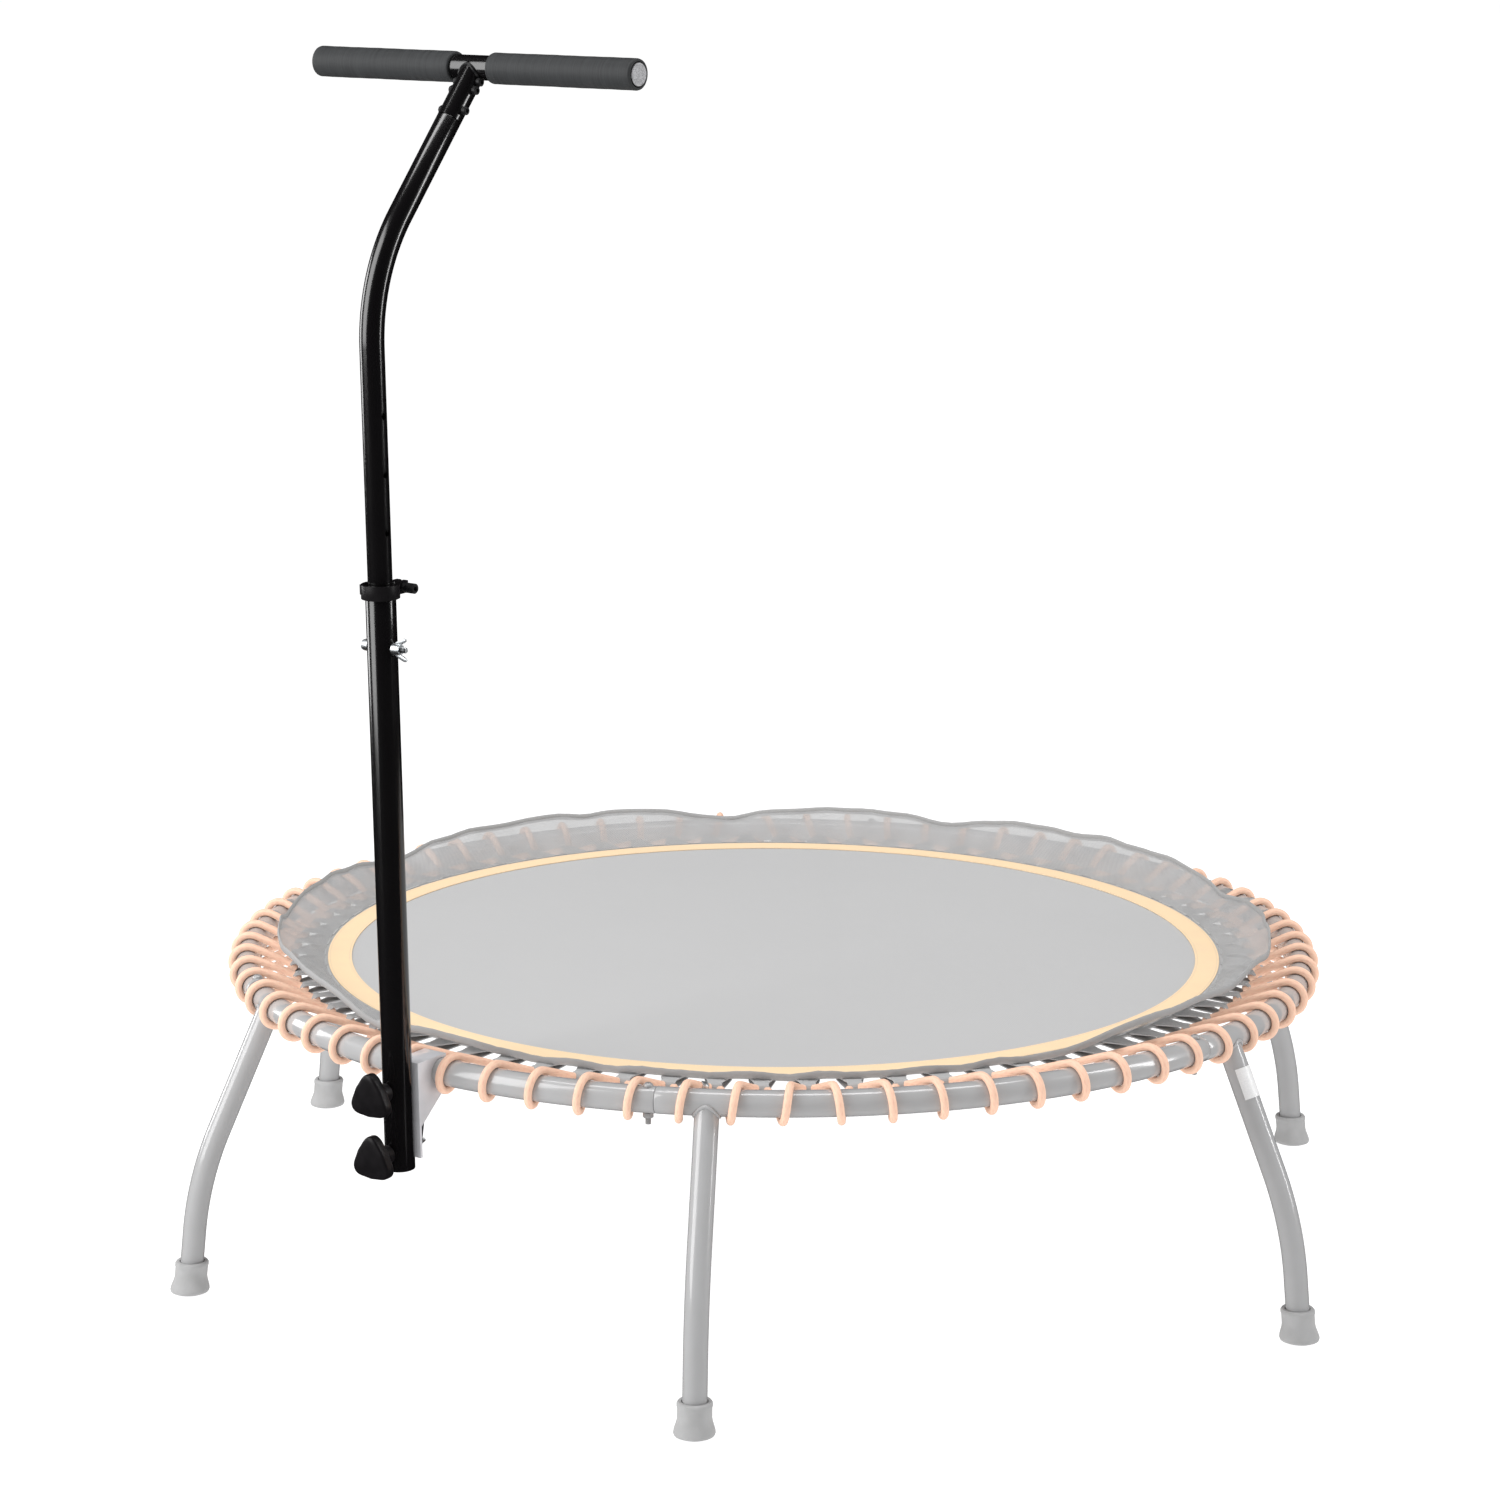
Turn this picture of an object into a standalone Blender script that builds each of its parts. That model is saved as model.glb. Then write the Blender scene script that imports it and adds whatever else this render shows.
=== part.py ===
"""Mini trampoline with a height-adjustable T-bar handle.

A ring of six curved rails stands on six splayed legs. An elastic cord laces a round mat
into the ring. A bracket on the ring carries an upright tube, in which a bent neck with a
padded crossbar slides up and down. +Z is up, -Y is the handle's side, and the origin is
on the floor under the middle of the whole object.
"""

import math

import bmesh
import bpy
from mathutils import Matrix, Vector

# ---- driving dimensions, in metres and degrees ----
GAP = 0.0003  # between pieces that touch

# Frame ring
RAIL_RADIUS = 0.600  # to the tube's centre line
RAIL_HEIGHT = 0.317  # of the tube's centre line
RAIL_TUBE = 0.028
RAIL_WALL = 0.0015
SEGMENTS = 6
SEAM_ANGLE = 5.0  # from each leg back to its rail's end
FRAME_BOLT_INSET = 0.0085  # from the seam to the bolt through the joint
FRAME_BOLT = 0.006
FRAME_BOLT_HEAD = 0.011
FRAME_BOLT_TIP = 0.012  # how far the bolt hangs out under the rail

# Legs and feet
LEG_TUBE = 0.0254
LEG_WALL = 0.0015
LEG_LEAN_TOP = 24.5
LEG_LEAN_FOOT = 6.0
LEG_STRAIGHT = 0.150  # from the rail's centre line to the bend
LEG_BEND_RADIUS = 0.360
FOOT_HEIGHT = 0.035
FOOT_BASE = 0.043
FOOT_WALL = 0.0045
FOOT_FLOOR = 0.0065  # rubber under the leg
FOOT_FLARE = 0.014  # height of the flared base
LABEL_LENGTH = 0.034
LABEL_START = 0.034  # down the leg from the rail's centre line
LABEL_THICKNESS = 0.0005

# Mat, skirt and cord
CORD_SPACE = 0.079  # from the mat's edge to the rail's centre line
MAT_THICKNESS = 0.0015
MAT_ABOVE_RAIL = 0.0025  # mat's top over the rail's centre line
TAB_REACH = 0.022  # tab beyond the mat's edge
TAB_TIP_SHARE = 0.32  # of the pitch
TAB_ROOT_SHARE = 0.62
STRIPE_INSET = 0.011  # from the mat's edge
STRIPE_WIDTH = 0.027
STRIPE_THICKNESS = 0.0008
PLAIN_MARGIN = 0.003  # bare mat left inside the stripe
EDGE_DROP = 0.0002  # mat's edge under its bare middle
SKIRT_INSET = 0.0075  # seam from the mat's edge
SKIRT_OVERHANG = 0.045  # free edge beyond the mat's edge
SKIRT_RISE = 0.026
SKIRT_THICKNESS = 0.0015
BINDING = 0.005
CORD = 0.0085
LOOPS_PER_SEGMENT = 12
FIRST_LOOP = -2.4  # from a leg to the nearest loop
TURN_TAB = -9  # tab, counted from the leg at 0 degrees, where the lacing changes direction
CRIMP_LENGTH = 0.014
CRIMP_WALL = 0.0012
CRIMP_PLACE = 0.32  # share of the way from the tab to the rail

# Upright and its bracket
UPRIGHT_DROP = 0.095  # foot under the rail's centre line
UPRIGHT_LENGTH = 0.613
UPRIGHT_WALL = 0.0025
UPRIGHT_LEAN = 1.6
BRACKET_WIDTH = 0.029
BRACKET_PLATE = 0.003
BRACKET_DEPTH = 0.0188  # from the upright to the rail
BRACKET_BOTTOM = 0.0085  # above the upright's foot
BRACKET_TIP = 0.042  # lower end of the cheeks' slanting edge
HOOK_ROOM = 0.0175  # past the rail's centre line, shared with the cord
KNOB_HEIGHTS = {"lower": 0.020, "upper": 0.0865}
KNOB_RADIUS = 0.026
KNOB_THICKNESS = 0.013
KNOB_FACE = 0.048  # from the upright's centre line
KNOB_HUB = 0.020
STUD = 0.006
STUD_END = 0.038  # beyond the upright's centre line
NUT_ACROSS = 0.010
NUT_THICKNESS = 0.005

# Neck
NECK_TUBE = 0.025
NECK_WALL = 0.0015
NECK_FIT = 0.0005  # round the neck in the upright
NECK_INSIDE = 0.328  # length in the upright
NECK_STRAIGHT = 0.237  # from the upright's top to the bend
NECK_BEND_RADIUS = 0.190
NECK_BEND = 41.5
NECK_REACH = 0.1164  # straight stretch above the bend
NECK_SPIGOT = 0.044
HOLE_PITCH = 0.0585
HOLES_BELOW = 3
HOLES_ABOVE = 4
LOCK_BOLT = 0.006
LOCK_BOLT_DROP = 0.0636  # under the upright's top
LOCK_BOLT_HEAD = 0.012
LOCK_BOLT_OUT = 0.032  # bolt's end from the upright's centre line

# Collar clamp
COLLAR_HEIGHT = 0.0145
COLLAR_WALL = 0.0038
COLLAR_OVER = 0.001  # above the upright's top
COLLAR_SLIT = 0.003
EAR_REACH = 0.014
EAR_THICKNESS = 0.006
COLLAR_SCREW = 0.005
COLLAR_HEAD = 0.0104
COLLAR_HEAD_LENGTH = 0.015

# Stem, crossbar and grips
STEM_LENGTH = 0.0656  # from the seam to the crossbar's centre line
STEM_BOLTS = (0.0125, 0.0375, 0.0480)  # from the seam
STEM_BOLT = 0.005
STEM_BOLT_HEAD = 0.0085
BAR_TUBE = 0.025
BAR_WALL = 0.0015
BAR_HALF = 0.2075
GRIP_WALL = 0.00325
GRIP_INNER_END = 0.0245  # from the bar's middle
GRIP_ROUND = 0.004
PLUG_FLANGE = 0.0015
PLUG_DEPTH = 0.018

# Facets
RAIL_SIDES = 10
HANDLE_SIDES = 12
BOLT_SIDES = 8
KNOB_SIDES = 18
RING_SIDES = 48
RAIL_STEP = 6.0  # a spigot is one step long, so that its facets lie in the next rail's
BEND_STEPS = 7
CORD_RESOLUTION = 2
WRAP_CORNERS = 3  # corners of the cord round the rail

# ---- what follows from them ----
UPRIGHT_TUBE = NECK_TUBE + 2 * (UPRIGHT_WALL + NECK_FIT)
UPRIGHT_OFFSET = RAIL_RADIUS + RAIL_TUBE / 2 + BRACKET_DEPTH + UPRIGHT_TUBE / 2
UPRIGHT_FOOT = RAIL_HEIGHT - UPRIGHT_DROP
LOCK_BOLT_HEIGHT = UPRIGHT_LENGTH - LOCK_BOLT_DROP
NECK_FOOT = UPRIGHT_LENGTH - NECK_INSIDE
NECK_BEND_START = UPRIGHT_LENGTH + NECK_STRAIGHT
GRIP_TUBE = BAR_TUBE + 2 * GRIP_WALL
BRACKET_HOOK = HOOK_ROOM - CORD
RAIL_R = RAIL_TUBE / 2
LEG_R = LEG_TUBE / 2
CORD_R = CORD / 2
UPRIGHT_R = UPRIGHT_TUBE / 2
NECK_R = NECK_TUBE / 2
BAR_R = BAR_TUBE / 2
SEGMENT_ANGLE = 360 / SEGMENTS
PITCH = SEGMENT_ANGLE / LOOPS_PER_SEGMENT
LOOPS = SEGMENTS * LOOPS_PER_SEGMENT
MAT_RADIUS = RAIL_RADIUS - CORD_SPACE
MAT_TOP = RAIL_HEIGHT + MAT_ABOVE_RAIL
STRIPE_OUTER = MAT_RADIUS - STRIPE_INSET
STRIPE_INNER = STRIPE_OUTER - STRIPE_WIDTH
SKIRT_INNER = MAT_RADIUS - SKIRT_INSET
SKIRT_OUTER = MAT_RADIUS + SKIRT_OVERHANG
TAB_TIP = MAT_RADIUS + TAB_REACH
CORD_APEX = TAB_TIP + GAP + CORD_R * 1.15
SPIGOT_R = RAIL_R - RAIL_WALL - GAP
NECK_SPIGOT_R = BAR_R - BAR_WALL - GAP

COLORS = {
    "black_steel": ((0.712, 0.712, 0.720), 0.35, 0.0),
    "black_rubber": ((0.716, 0.716, 0.720), 0.85, 0.0),
    "mat_weave": ((0.780, 0.780, 0.784), 0.80, 0.0),
    "stripe_orange": ((0.992, 0.895, 0.745), 0.70, 0.0),
    "net_black": ((0.735, 0.735, 0.740), 0.85, 0.0),
    "cord_orange": ((0.988, 0.805, 0.690), 0.55, 0.0),
    "handle_black": ((0.070, 0.063, 0.070), 0.22, 0.0),
    "foam_grey": ((0.310, 0.314, 0.322), 0.75, 0.0),
    "knob_black": ((0.110, 0.110, 0.115), 0.45, 0.0),
    "black_screw": ((0.110, 0.110, 0.115), 0.40, 0.9),
    "zinc": ((0.800, 0.810, 0.820), 0.30, 1.0),
    "plug_grey": ((0.600, 0.600, 0.610), 0.60, 0.0),
    "label_white": ((0.930, 0.930, 0.930), 0.60, 0.0),
}


# ---- general helpers ----
def clear_scene():
    for item in list(bpy.data.objects):
        bpy.data.objects.remove(item)


def linear(value):
    return value / 12.92 if value <= 0.04045 else ((value + 0.055) / 1.055) ** 2.4


def material_for(node, look):
    color, roughness, metallic = COLORS[look]
    material = bpy.data.materials.new(node)
    material.use_nodes = True
    shader = material.node_tree.nodes["Principled BSDF"]
    shader.inputs["Base Color"].default_value = (*map(linear, color), 1)
    shader.inputs["Roughness"].default_value = roughness
    shader.inputs["Metallic"].default_value = metallic
    return material


def add_object(name, bm, look=None, parent=None, matrix=None):
    """Turn bm into an object. Without a look it is a hidden cutter."""
    bmesh.ops.remove_doubles(bm, verts=bm.verts, dist=1e-6)
    bmesh.ops.recalc_face_normals(bm, faces=bm.faces)
    mesh = bpy.data.meshes.new(name)
    bm.to_mesh(mesh)
    bm.free()
    mesh.shade_smooth()
    mesh.set_sharp_from_angle(angle=math.radians(35))
    item = bpy.data.objects.new(name, mesh)
    bpy.context.collection.objects.link(item)
    item.parent = parent
    if matrix is not None:
        item.matrix_local = matrix
    if look is None:
        item.hide_render = True
        item.display_type = "WIRE"
    else:
        mesh.materials.append(material_for(name, look))
    return item


def add_empty(name, parent, matrix):
    empty = bpy.data.objects.new(name, None)
    bpy.context.collection.objects.link(empty)
    empty.parent = parent
    empty.matrix_local = matrix
    return empty


def boolean(item, other, operation="DIFFERENCE"):
    modifier = item.modifiers.new(f"{operation.lower()}_{other.name}", "BOOLEAN")
    modifier.object = other
    modifier.operation = operation


def skin(bm, rings, closed=False):
    """Join rings of points into one surface: a tunnel that closes on itself, or a capped rod."""
    made = [[bm.verts.new(point) for point in ring] for ring in rings]
    pairs = list(zip(made, made[1:]))
    if closed:
        pairs.append((made[-1], made[0]))
    for low, high in pairs:
        for i in range(len(low)):
            j = (i + 1) % len(low)
            bm.faces.new((low[i], low[j], high[j], high[i]))
    if not closed:
        bm.faces.new(made[0])
        bm.faces.new(made[-1])


def circle(centre, u, v, radius, sides):
    """Points round centre in the plane of u and v."""
    steps = [2 * math.pi * i / sides for i in range(sides)]
    return [centre + radius * (math.cos(t) * u + math.sin(t) * v) for t in steps]


def lathe(profile, sides, closed=False):
    """Turn (radius, height) points round local Z."""
    bm = bmesh.new()
    x, y = Vector((1, 0, 0)), Vector((0, 1, 0))
    skin(bm, [circle(Vector((0, 0, z)), x, y, r, sides) for r, z in profile], closed)
    return bm


def along_x():
    """Lay local Z along +X."""
    return Matrix.Rotation(math.pi / 2, 4, "Y")


def across_tube():
    """Lay local Z along +X with a facet, not a corner, of a bolt or hole up."""
    return along_x() @ Matrix.Rotation(math.pi / BOLT_SIDES, 4, "Z")


def along_minus_y():
    """Lay local Z along -Y."""
    return Matrix.Rotation(math.pi / 2, 4, "X")


def at(x=0.0, y=0.0, z=0.0):
    return Matrix.Translation((x, y, z))


def box(low, high):
    bm = bmesh.new()
    size = Vector(high) - Vector(low)
    middle = (Vector(high) + Vector(low)) / 2
    scale = Matrix.Diagonal((*size, 1))
    bmesh.ops.create_cube(bm, size=1, matrix=Matrix.Translation(middle) @ scale)
    return bm


def rod(radius, start, end, sides=BOLT_SIDES):
    return lathe([(radius, start), (radius, end)], sides)


def prism(outline, low, high):
    """Extrude an outline of (y, z) points from x = low to x = high."""
    bm = bmesh.new()
    skin(bm, [[Vector((x, y, z)) for y, z in outline] for x in (low, high)])
    return bm


def radial(angle):
    return Vector((math.cos(math.radians(angle)), math.sin(math.radians(angle)), 0))


# ---- frame ring ----
def rail_ring(angle, radius):
    """A ring of points round the rail's centre line."""
    out = radial(angle)
    centre = out * RAIL_RADIUS + Vector((0, 0, RAIL_HEIGHT))
    return circle(centre, out, Vector((0, 0, 1)), radius, RAIL_SIDES)


def ring_degrees(length):
    """The angle that a length along the ring takes."""
    return math.degrees(length / RAIL_RADIUS)


def leg_angle(index):
    return SEGMENT_ANGLE * index


def seam_angle(index):
    return leg_angle(index) - SEAM_ANGLE


def make_rail(index, root):
    """One curved tube. Its narrow spigot goes back into the rail before it."""
    start = seam_angle(index)
    end = start + SEGMENT_ANGLE - ring_degrees(GAP)
    spigot = start - RAIL_STEP
    steps = round(SEGMENT_ANGLE / RAIL_STEP)
    middles = [start + SEGMENT_ANGLE * i / steps for i in range(1, steps)]
    neck = start + ring_degrees(2 * RAIL_WALL)
    outer = [(spigot, SPIGOT_R), (start, SPIGOT_R)]
    outer += [(a, RAIL_R) for a in (start, *middles, end)]
    inner = [(a, RAIL_R - RAIL_WALL) for a in (end, *reversed(middles), neck)]
    inner += [(a, SPIGOT_R - RAIL_WALL) for a in (neck, spigot)]
    bm = bmesh.new()
    skin(bm, [rail_ring(a, r) for a, r in outer + inner], closed=True)
    return add_object(f"rail_{index + 1}", bm, "black_steel", root)


def bolt_angle(index):
    return seam_angle(index) - ring_degrees(FRAME_BOLT_INSET)


def make_frame_bolt(index, root):
    """Bolt and nut through one rail joint, head on top."""
    r, head = FRAME_BOLT / 2, FRAME_BOLT_HEAD / 2
    top = RAIL_R + GAP
    dome = [(head, top), (head, top + 0.0012), (0.6 * head, top + 0.0034)]
    nut = [(head, -top - 0.0045), (head, -top), (r, -top), (r, top)]
    tip = [(0.7 * r, -RAIL_R - FRAME_BOLT_TIP), (r, -RAIL_R - FRAME_BOLT_TIP + 0.0012)]
    bm = lathe(tip + [(r, -top - 0.0045)] + nut + dome, BOLT_SIDES)
    place = at(*(radial(bolt_angle(index)) * RAIL_RADIUS + Vector((0, 0, RAIL_HEIGHT))))
    return add_object(f"frame_bolt_{index + 1}", bm, "black_screw", root, place)


def drill_joint(index, rails, root):
    bm = rod(FRAME_BOLT / 2 + GAP, -RAIL_TUBE, RAIL_TUBE)
    place = at(*(radial(bolt_angle(index)) * RAIL_RADIUS + Vector((0, 0, RAIL_HEIGHT))))
    drill = add_object(f"joint_drill_{index + 1}", bm, None, root, place)
    boolean(rails[index], drill)
    boolean(rails[index - 1], drill)


def make_rail_cutter(root):
    """The whole ring, a gap thicker than the rails, to shape what is fitted to it."""
    steps = round(360 / RAIL_STEP)
    angles = [seam_angle(0) + 360 * i / steps for i in range(steps)]
    bm = bmesh.new()
    skin(bm, [rail_ring(a, RAIL_R + GAP) for a in angles], closed=True)
    return add_object("rail_cutter", bm, None, root)


# ---- legs and feet ----
def leg_path(distance):
    """(radius, height, lean) of the leg's centre line at a distance from the rail's centre."""
    top, foot = math.radians(LEG_LEAN_TOP), math.radians(LEG_LEAN_FOOT)
    bend = LEG_BEND_RADIUS * (top - foot)
    straight = min(distance, LEG_STRAIGHT)
    r = RAIL_RADIUS + straight * math.sin(top)
    z = RAIL_HEIGHT - straight * math.cos(top)
    lean = top - min(max(distance - LEG_STRAIGHT, 0), bend) / LEG_BEND_RADIUS
    r += LEG_BEND_RADIUS * (math.cos(lean) - math.cos(top))
    z -= LEG_BEND_RADIUS * (math.sin(top) - math.sin(lean))
    rest = max(distance - LEG_STRAIGHT - bend, 0)
    return r + rest * math.sin(foot), z - rest * math.cos(foot), lean


def leg_length():
    """Down to the rubber in the foot's socket."""
    bend = LEG_BEND_RADIUS * math.radians(LEG_LEAN_TOP - LEG_LEAN_FOOT)
    _, height, lean = leg_path(LEG_STRAIGHT + bend)
    end = FOOT_FLOOR + 2 * GAP + LEG_R * math.sin(lean)
    return LEG_STRAIGHT + bend + (height - end) / math.cos(lean)


def leg_ring(angle, distance, radius, sides=RAIL_SIDES):
    r, z, lean = leg_path(distance)
    out = radial(angle)
    across = out * math.cos(lean) + Vector((0, 0, math.sin(lean)))
    side = Vector((0, 0, 1)).cross(out)
    return circle(out * r + Vector((0, 0, z)), across, side, radius, sides)


def leg_stations():
    bend = LEG_BEND_RADIUS * math.radians(LEG_LEAN_TOP - LEG_LEAN_FOOT)
    steps = [LEG_STRAIGHT + bend * i / 4 for i in range(5)]
    return [0.0, *steps, leg_length()]


def make_leg(index, root, rail_cutter):
    stations = leg_stations()
    outer = [(s, LEG_R) for s in stations]
    inner = [(s, LEG_R - LEG_WALL) for s in reversed(stations)]
    bm = bmesh.new()
    skin(bm, [leg_ring(leg_angle(index), s, r) for s, r in outer + inner], closed=True)
    leg = add_object(f"leg_{index + 1}", bm, "black_steel", root)
    boolean(leg, rail_cutter)
    return leg


def make_foot(index, root):
    """Rubber foot: a sleeve round the leg on a flared base, level with the floor."""
    end_r, end_z, lean = leg_path(leg_length())
    socket = LEG_R + 2 * GAP
    sleeve = socket + FOOT_WALL
    base = FOOT_BASE / 2
    profile = [
        (base - 0.001, 0.0),
        (base, 0.0035),
        (0.75 * base + 0.25 * sleeve, 0.6 * FOOT_FLARE),
        (sleeve, FOOT_FLARE),
        (sleeve, FOOT_HEIGHT - 0.0025),
        (sleeve - 0.0015, FOOT_HEIGHT),
        (socket, FOOT_HEIGHT),
        (socket, FOOT_FLOOR),
    ]
    out = radial(leg_angle(index))
    side = Vector((0, 0, 1)).cross(out)
    rings = []
    for radius, height in profile:
        r = end_r + (end_z - height) * math.tan(lean)
        rings.append(circle(out * r + Vector((0, 0, height)), out, side, radius, RAIL_SIDES))
    bm = bmesh.new()
    skin(bm, rings)
    return add_object(f"foot_{index + 1}", bm, "black_rubber", root)


def make_label(root):
    """Blank sticker, wrapped half round the outside of one leg."""
    angle = leg_angle(0)
    inner, outer = LEG_R + GAP, LEG_R + GAP + LABEL_THICKNESS
    half = RAIL_SIDES // 2
    rings = []
    for distance in (LABEL_START, LABEL_START + LABEL_LENGTH):
        low = leg_ring(angle, distance, inner)
        high = leg_ring(angle, distance, outer)
        first = 1 - half // 2
        around = [i % RAIL_SIDES for i in range(first - half // 2, first + half // 2)]
        rings.append([high[i] for i in around] + [low[i] for i in reversed(around)])
    bm = bmesh.new()
    skin(bm, rings)
    return add_object("leg_label", bm, "label_white", root)


# ---- jumping bed ----
def loop_angle(number):
    return FIRST_LOOP + PITCH * number


def tab_angle(number):
    """Tabs sit between loops; tab n is just before loop n."""
    return loop_angle(number) - PITCH / 2


def make_mat(root):
    """Woven disc with one webbing tab for every bend of the cord."""
    outline, plain = [], []
    for number in range(LOOPS):
        middle = tab_angle(number)
        tip, base = TAB_TIP_SHARE * PITCH / 2, TAB_ROOT_SHARE * PITCH / 2
        corners = ((-base, MAT_RADIUS), (-tip, TAB_TIP), (tip, TAB_TIP), (base, MAT_RADIUS))
        outline += [radial(middle + turn) * r for turn, r in corners]
        plain += [radial(middle + turn) * (STRIPE_INNER - PLAIN_MARGIN) for turn, _ in corners]
    bottom = Vector((0, 0, MAT_TOP - MAT_THICKNESS))
    edge, top = Vector((0, 0, MAT_TOP - EDGE_DROP)), Vector((0, 0, MAT_TOP))
    bm = bmesh.new()
    skin(bm, [[p + bottom for p in outline], [p + edge for p in outline], [p + top for p in plain]])
    return add_object("jump_mat", bm, "mat_weave", root)


def make_flat_ring(name, look, profile, root):
    return add_object(name, lathe(profile, RING_SIDES, closed=True), look, root)


def make_stripe(root):
    low = MAT_TOP + GAP
    high = low + STRIPE_THICKNESS
    profile = [(STRIPE_INNER, low), (STRIPE_OUTER, low), (STRIPE_OUTER, high), (STRIPE_INNER, high)]
    return make_flat_ring("ring_stripe", "stripe_orange", profile, root)


def make_skirt(root):
    """Net that rises from the mat's edge over the cord."""
    low = MAT_TOP + GAP
    profile = [(SKIRT_INNER, low), (SKIRT_OUTER, low + SKIRT_RISE)]
    profile += [(r, z + SKIRT_THICKNESS) for r, z in reversed(profile)]
    return make_flat_ring("net_skirt", "net_black", profile, root)


def make_binding(root):
    """Bound edge along the skirt's free side."""
    r = SKIRT_OUTER + GAP
    z = MAT_TOP + GAP + SKIRT_RISE + SKIRT_THICKNESS / 2
    half = BINDING / 2
    profile = [(r, z - half), (r + BINDING, z - half), (r + BINDING, z + half), (r, z + half)]
    return make_flat_ring("skirt_binding", "net_black", profile, root)


def wrap_points():
    """(out, up) corners of the cord round the rail, from over it to under it."""
    clear = RAIL_R + CORD_R + GAP
    rise = math.asin(clear / (RAIL_RADIUS - CORD_APEX))
    first = math.pi / 2 + rise
    step = 2 * first / WRAP_CORNERS
    reach = clear / math.cos(step / 2)
    turns = [first - step * (i + 0.5) for i in range(WRAP_CORNERS)]
    return [(reach * math.cos(t), reach * math.sin(t)) for t in turns]


def cord_point(angle, radius, height):
    return radial(angle) * radius + Vector((0, 0, height))


def cord_route():
    """Tab, over the rail, under it, next tab; past the turning tab it runs the other way."""
    over = wrap_points()
    points = []
    for step in range(LOOPS):
        number = TURN_TAB + step
        points.append(cord_point(tab_angle(number), CORD_APEX, RAIL_HEIGHT))
        corners = over if step < LOOPS // 2 else reversed(over)
        for out, up in corners:
            points.append(cord_point(loop_angle(number), RAIL_RADIUS + out, RAIL_HEIGHT + up))
    return points


def make_cord(root):
    curve = bpy.data.curves.new("elastic_cord", "CURVE")
    curve.dimensions = "3D"
    curve.bevel_depth = CORD_R
    curve.bevel_resolution = CORD_RESOLUTION
    curve.twist_mode = "MINIMUM"
    points = cord_route()
    spline = curve.splines.new("POLY")
    spline.points.add(len(points) - 1)
    for slot, point in zip(spline.points, points):
        slot.co = (*point, 1)
    spline.use_cyclic_u = True
    curve.materials.append(material_for("elastic_cord", "cord_orange"))
    item = bpy.data.objects.new("elastic_cord", curve)
    bpy.context.collection.objects.link(item)
    item.parent = root
    return item


def make_crimp(root):
    """Metal sleeve round the cord where its ends meet, between a tab and the rail."""
    number = TURN_TAB - 3
    out, up = wrap_points()[0]
    start = cord_point(tab_angle(number + 1), CORD_APEX, RAIL_HEIGHT)
    end = cord_point(loop_angle(number), RAIL_RADIUS + out, RAIL_HEIGHT + up)
    turn = (end - start).to_track_quat("Z", "Y").to_matrix().to_4x4()
    place = Matrix.Translation(start.lerp(end, CRIMP_PLACE)) @ turn
    inner, half = CORD_R + GAP, CRIMP_LENGTH / 2
    outer = inner + CRIMP_WALL
    profile = [(inner, -half), (outer, -half), (outer, half), (inner, half)]
    bm = lathe(profile, 2 * (CORD_RESOLUTION + 2) * 2, closed=True)
    return add_object("cord_crimp", bm, "zinc", root, place)


# ---- upright and bracket, in the handle's leaning frame ----
def handle_frame(root):
    lean = Matrix.Rotation(math.radians(UPRIGHT_LEAN), 4, "X")
    return add_empty("handle_frame", root, at(0, -UPRIGHT_OFFSET, UPRIGHT_FOOT) @ lean)


def rail_in_handle():
    """(y, z) of the rail's centre line in the handle's frame."""
    lean = math.radians(UPRIGHT_LEAN)
    y, z = UPRIGHT_OFFSET - RAIL_RADIUS, RAIL_HEIGHT - UPRIGHT_FOOT
    return y * math.cos(lean) + z * math.sin(lean), z * math.cos(lean) - y * math.sin(lean)


def make_upright(frame, drills):
    inner = UPRIGHT_R - UPRIGHT_WALL
    profile = [(UPRIGHT_R, 0), (UPRIGHT_R, UPRIGHT_LENGTH), (inner, UPRIGHT_LENGTH), (inner, 0)]
    bm = lathe(profile, HANDLE_SIDES, closed=True)
    upright = add_object("upright_tube", bm, "handle_black", frame)
    for drill in drills:
        boolean(upright, drill)
    return upright


def make_stud_drill(side, frame):
    bm = rod(STUD / 2 + GAP, -STUD_END, UPRIGHT_TUBE)
    place = at(0, 0, KNOB_HEIGHTS[side]) @ along_minus_y()
    return add_object(f"{side}_stud_drill", bm, None, frame, place)


def bracket_sides():
    """(near, far, top) faces of the bracket round the rail, in the handle's frame."""
    y, z = rail_in_handle()
    return UPRIGHT_R + GAP, y + BRACKET_HOOK, z + RAIL_R + GAP + BRACKET_PLATE


def make_bracket(frame, drills, rail_cutter):
    """Channel of a back plate, two cheeks and a top plate, welded round the rail."""
    near, far, top = bracket_sides()
    _, rail_z = rail_in_handle()
    half = BRACKET_WIDTH / 2
    plate = near + BRACKET_PLATE
    low = rail_z - RAIL_R - BRACKET_PLATE
    outline = [
        (near, BRACKET_BOTTOM),
        (plate, BRACKET_BOTTOM),
        (plate, BRACKET_TIP),
        (far, low),
        (far, top),
        (near, top),
    ]
    bracket = add_object("rail_bracket", prism(outline, -half, half), "black_steel", frame)
    inside = half - BRACKET_PLATE
    channel = box((-inside, plate, 0), (inside, far + RAIL_TUBE, top - BRACKET_PLATE))
    boolean(bracket, add_object("bracket_channel", channel, None, frame))
    boolean(bracket, rail_cutter)
    for drill in drills:
        boolean(bracket, drill)
    return bracket


def knob_radius(turn, size):
    """Rounded triangle in polar form, one corner up."""
    return size * (0.84 + 0.13 * math.cos(3 * turn) + 0.03 * math.cos(6 * turn))


def knob_ring(size, height, round_part=False):
    ring = []
    for i in range(KNOB_SIDES):
        turn = 2 * math.pi * i / KNOB_SIDES
        r = size if round_part else knob_radius(turn, size)
        ring.append(Vector((r * math.sin(turn), r * math.cos(turn), height)))
    return ring


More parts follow.
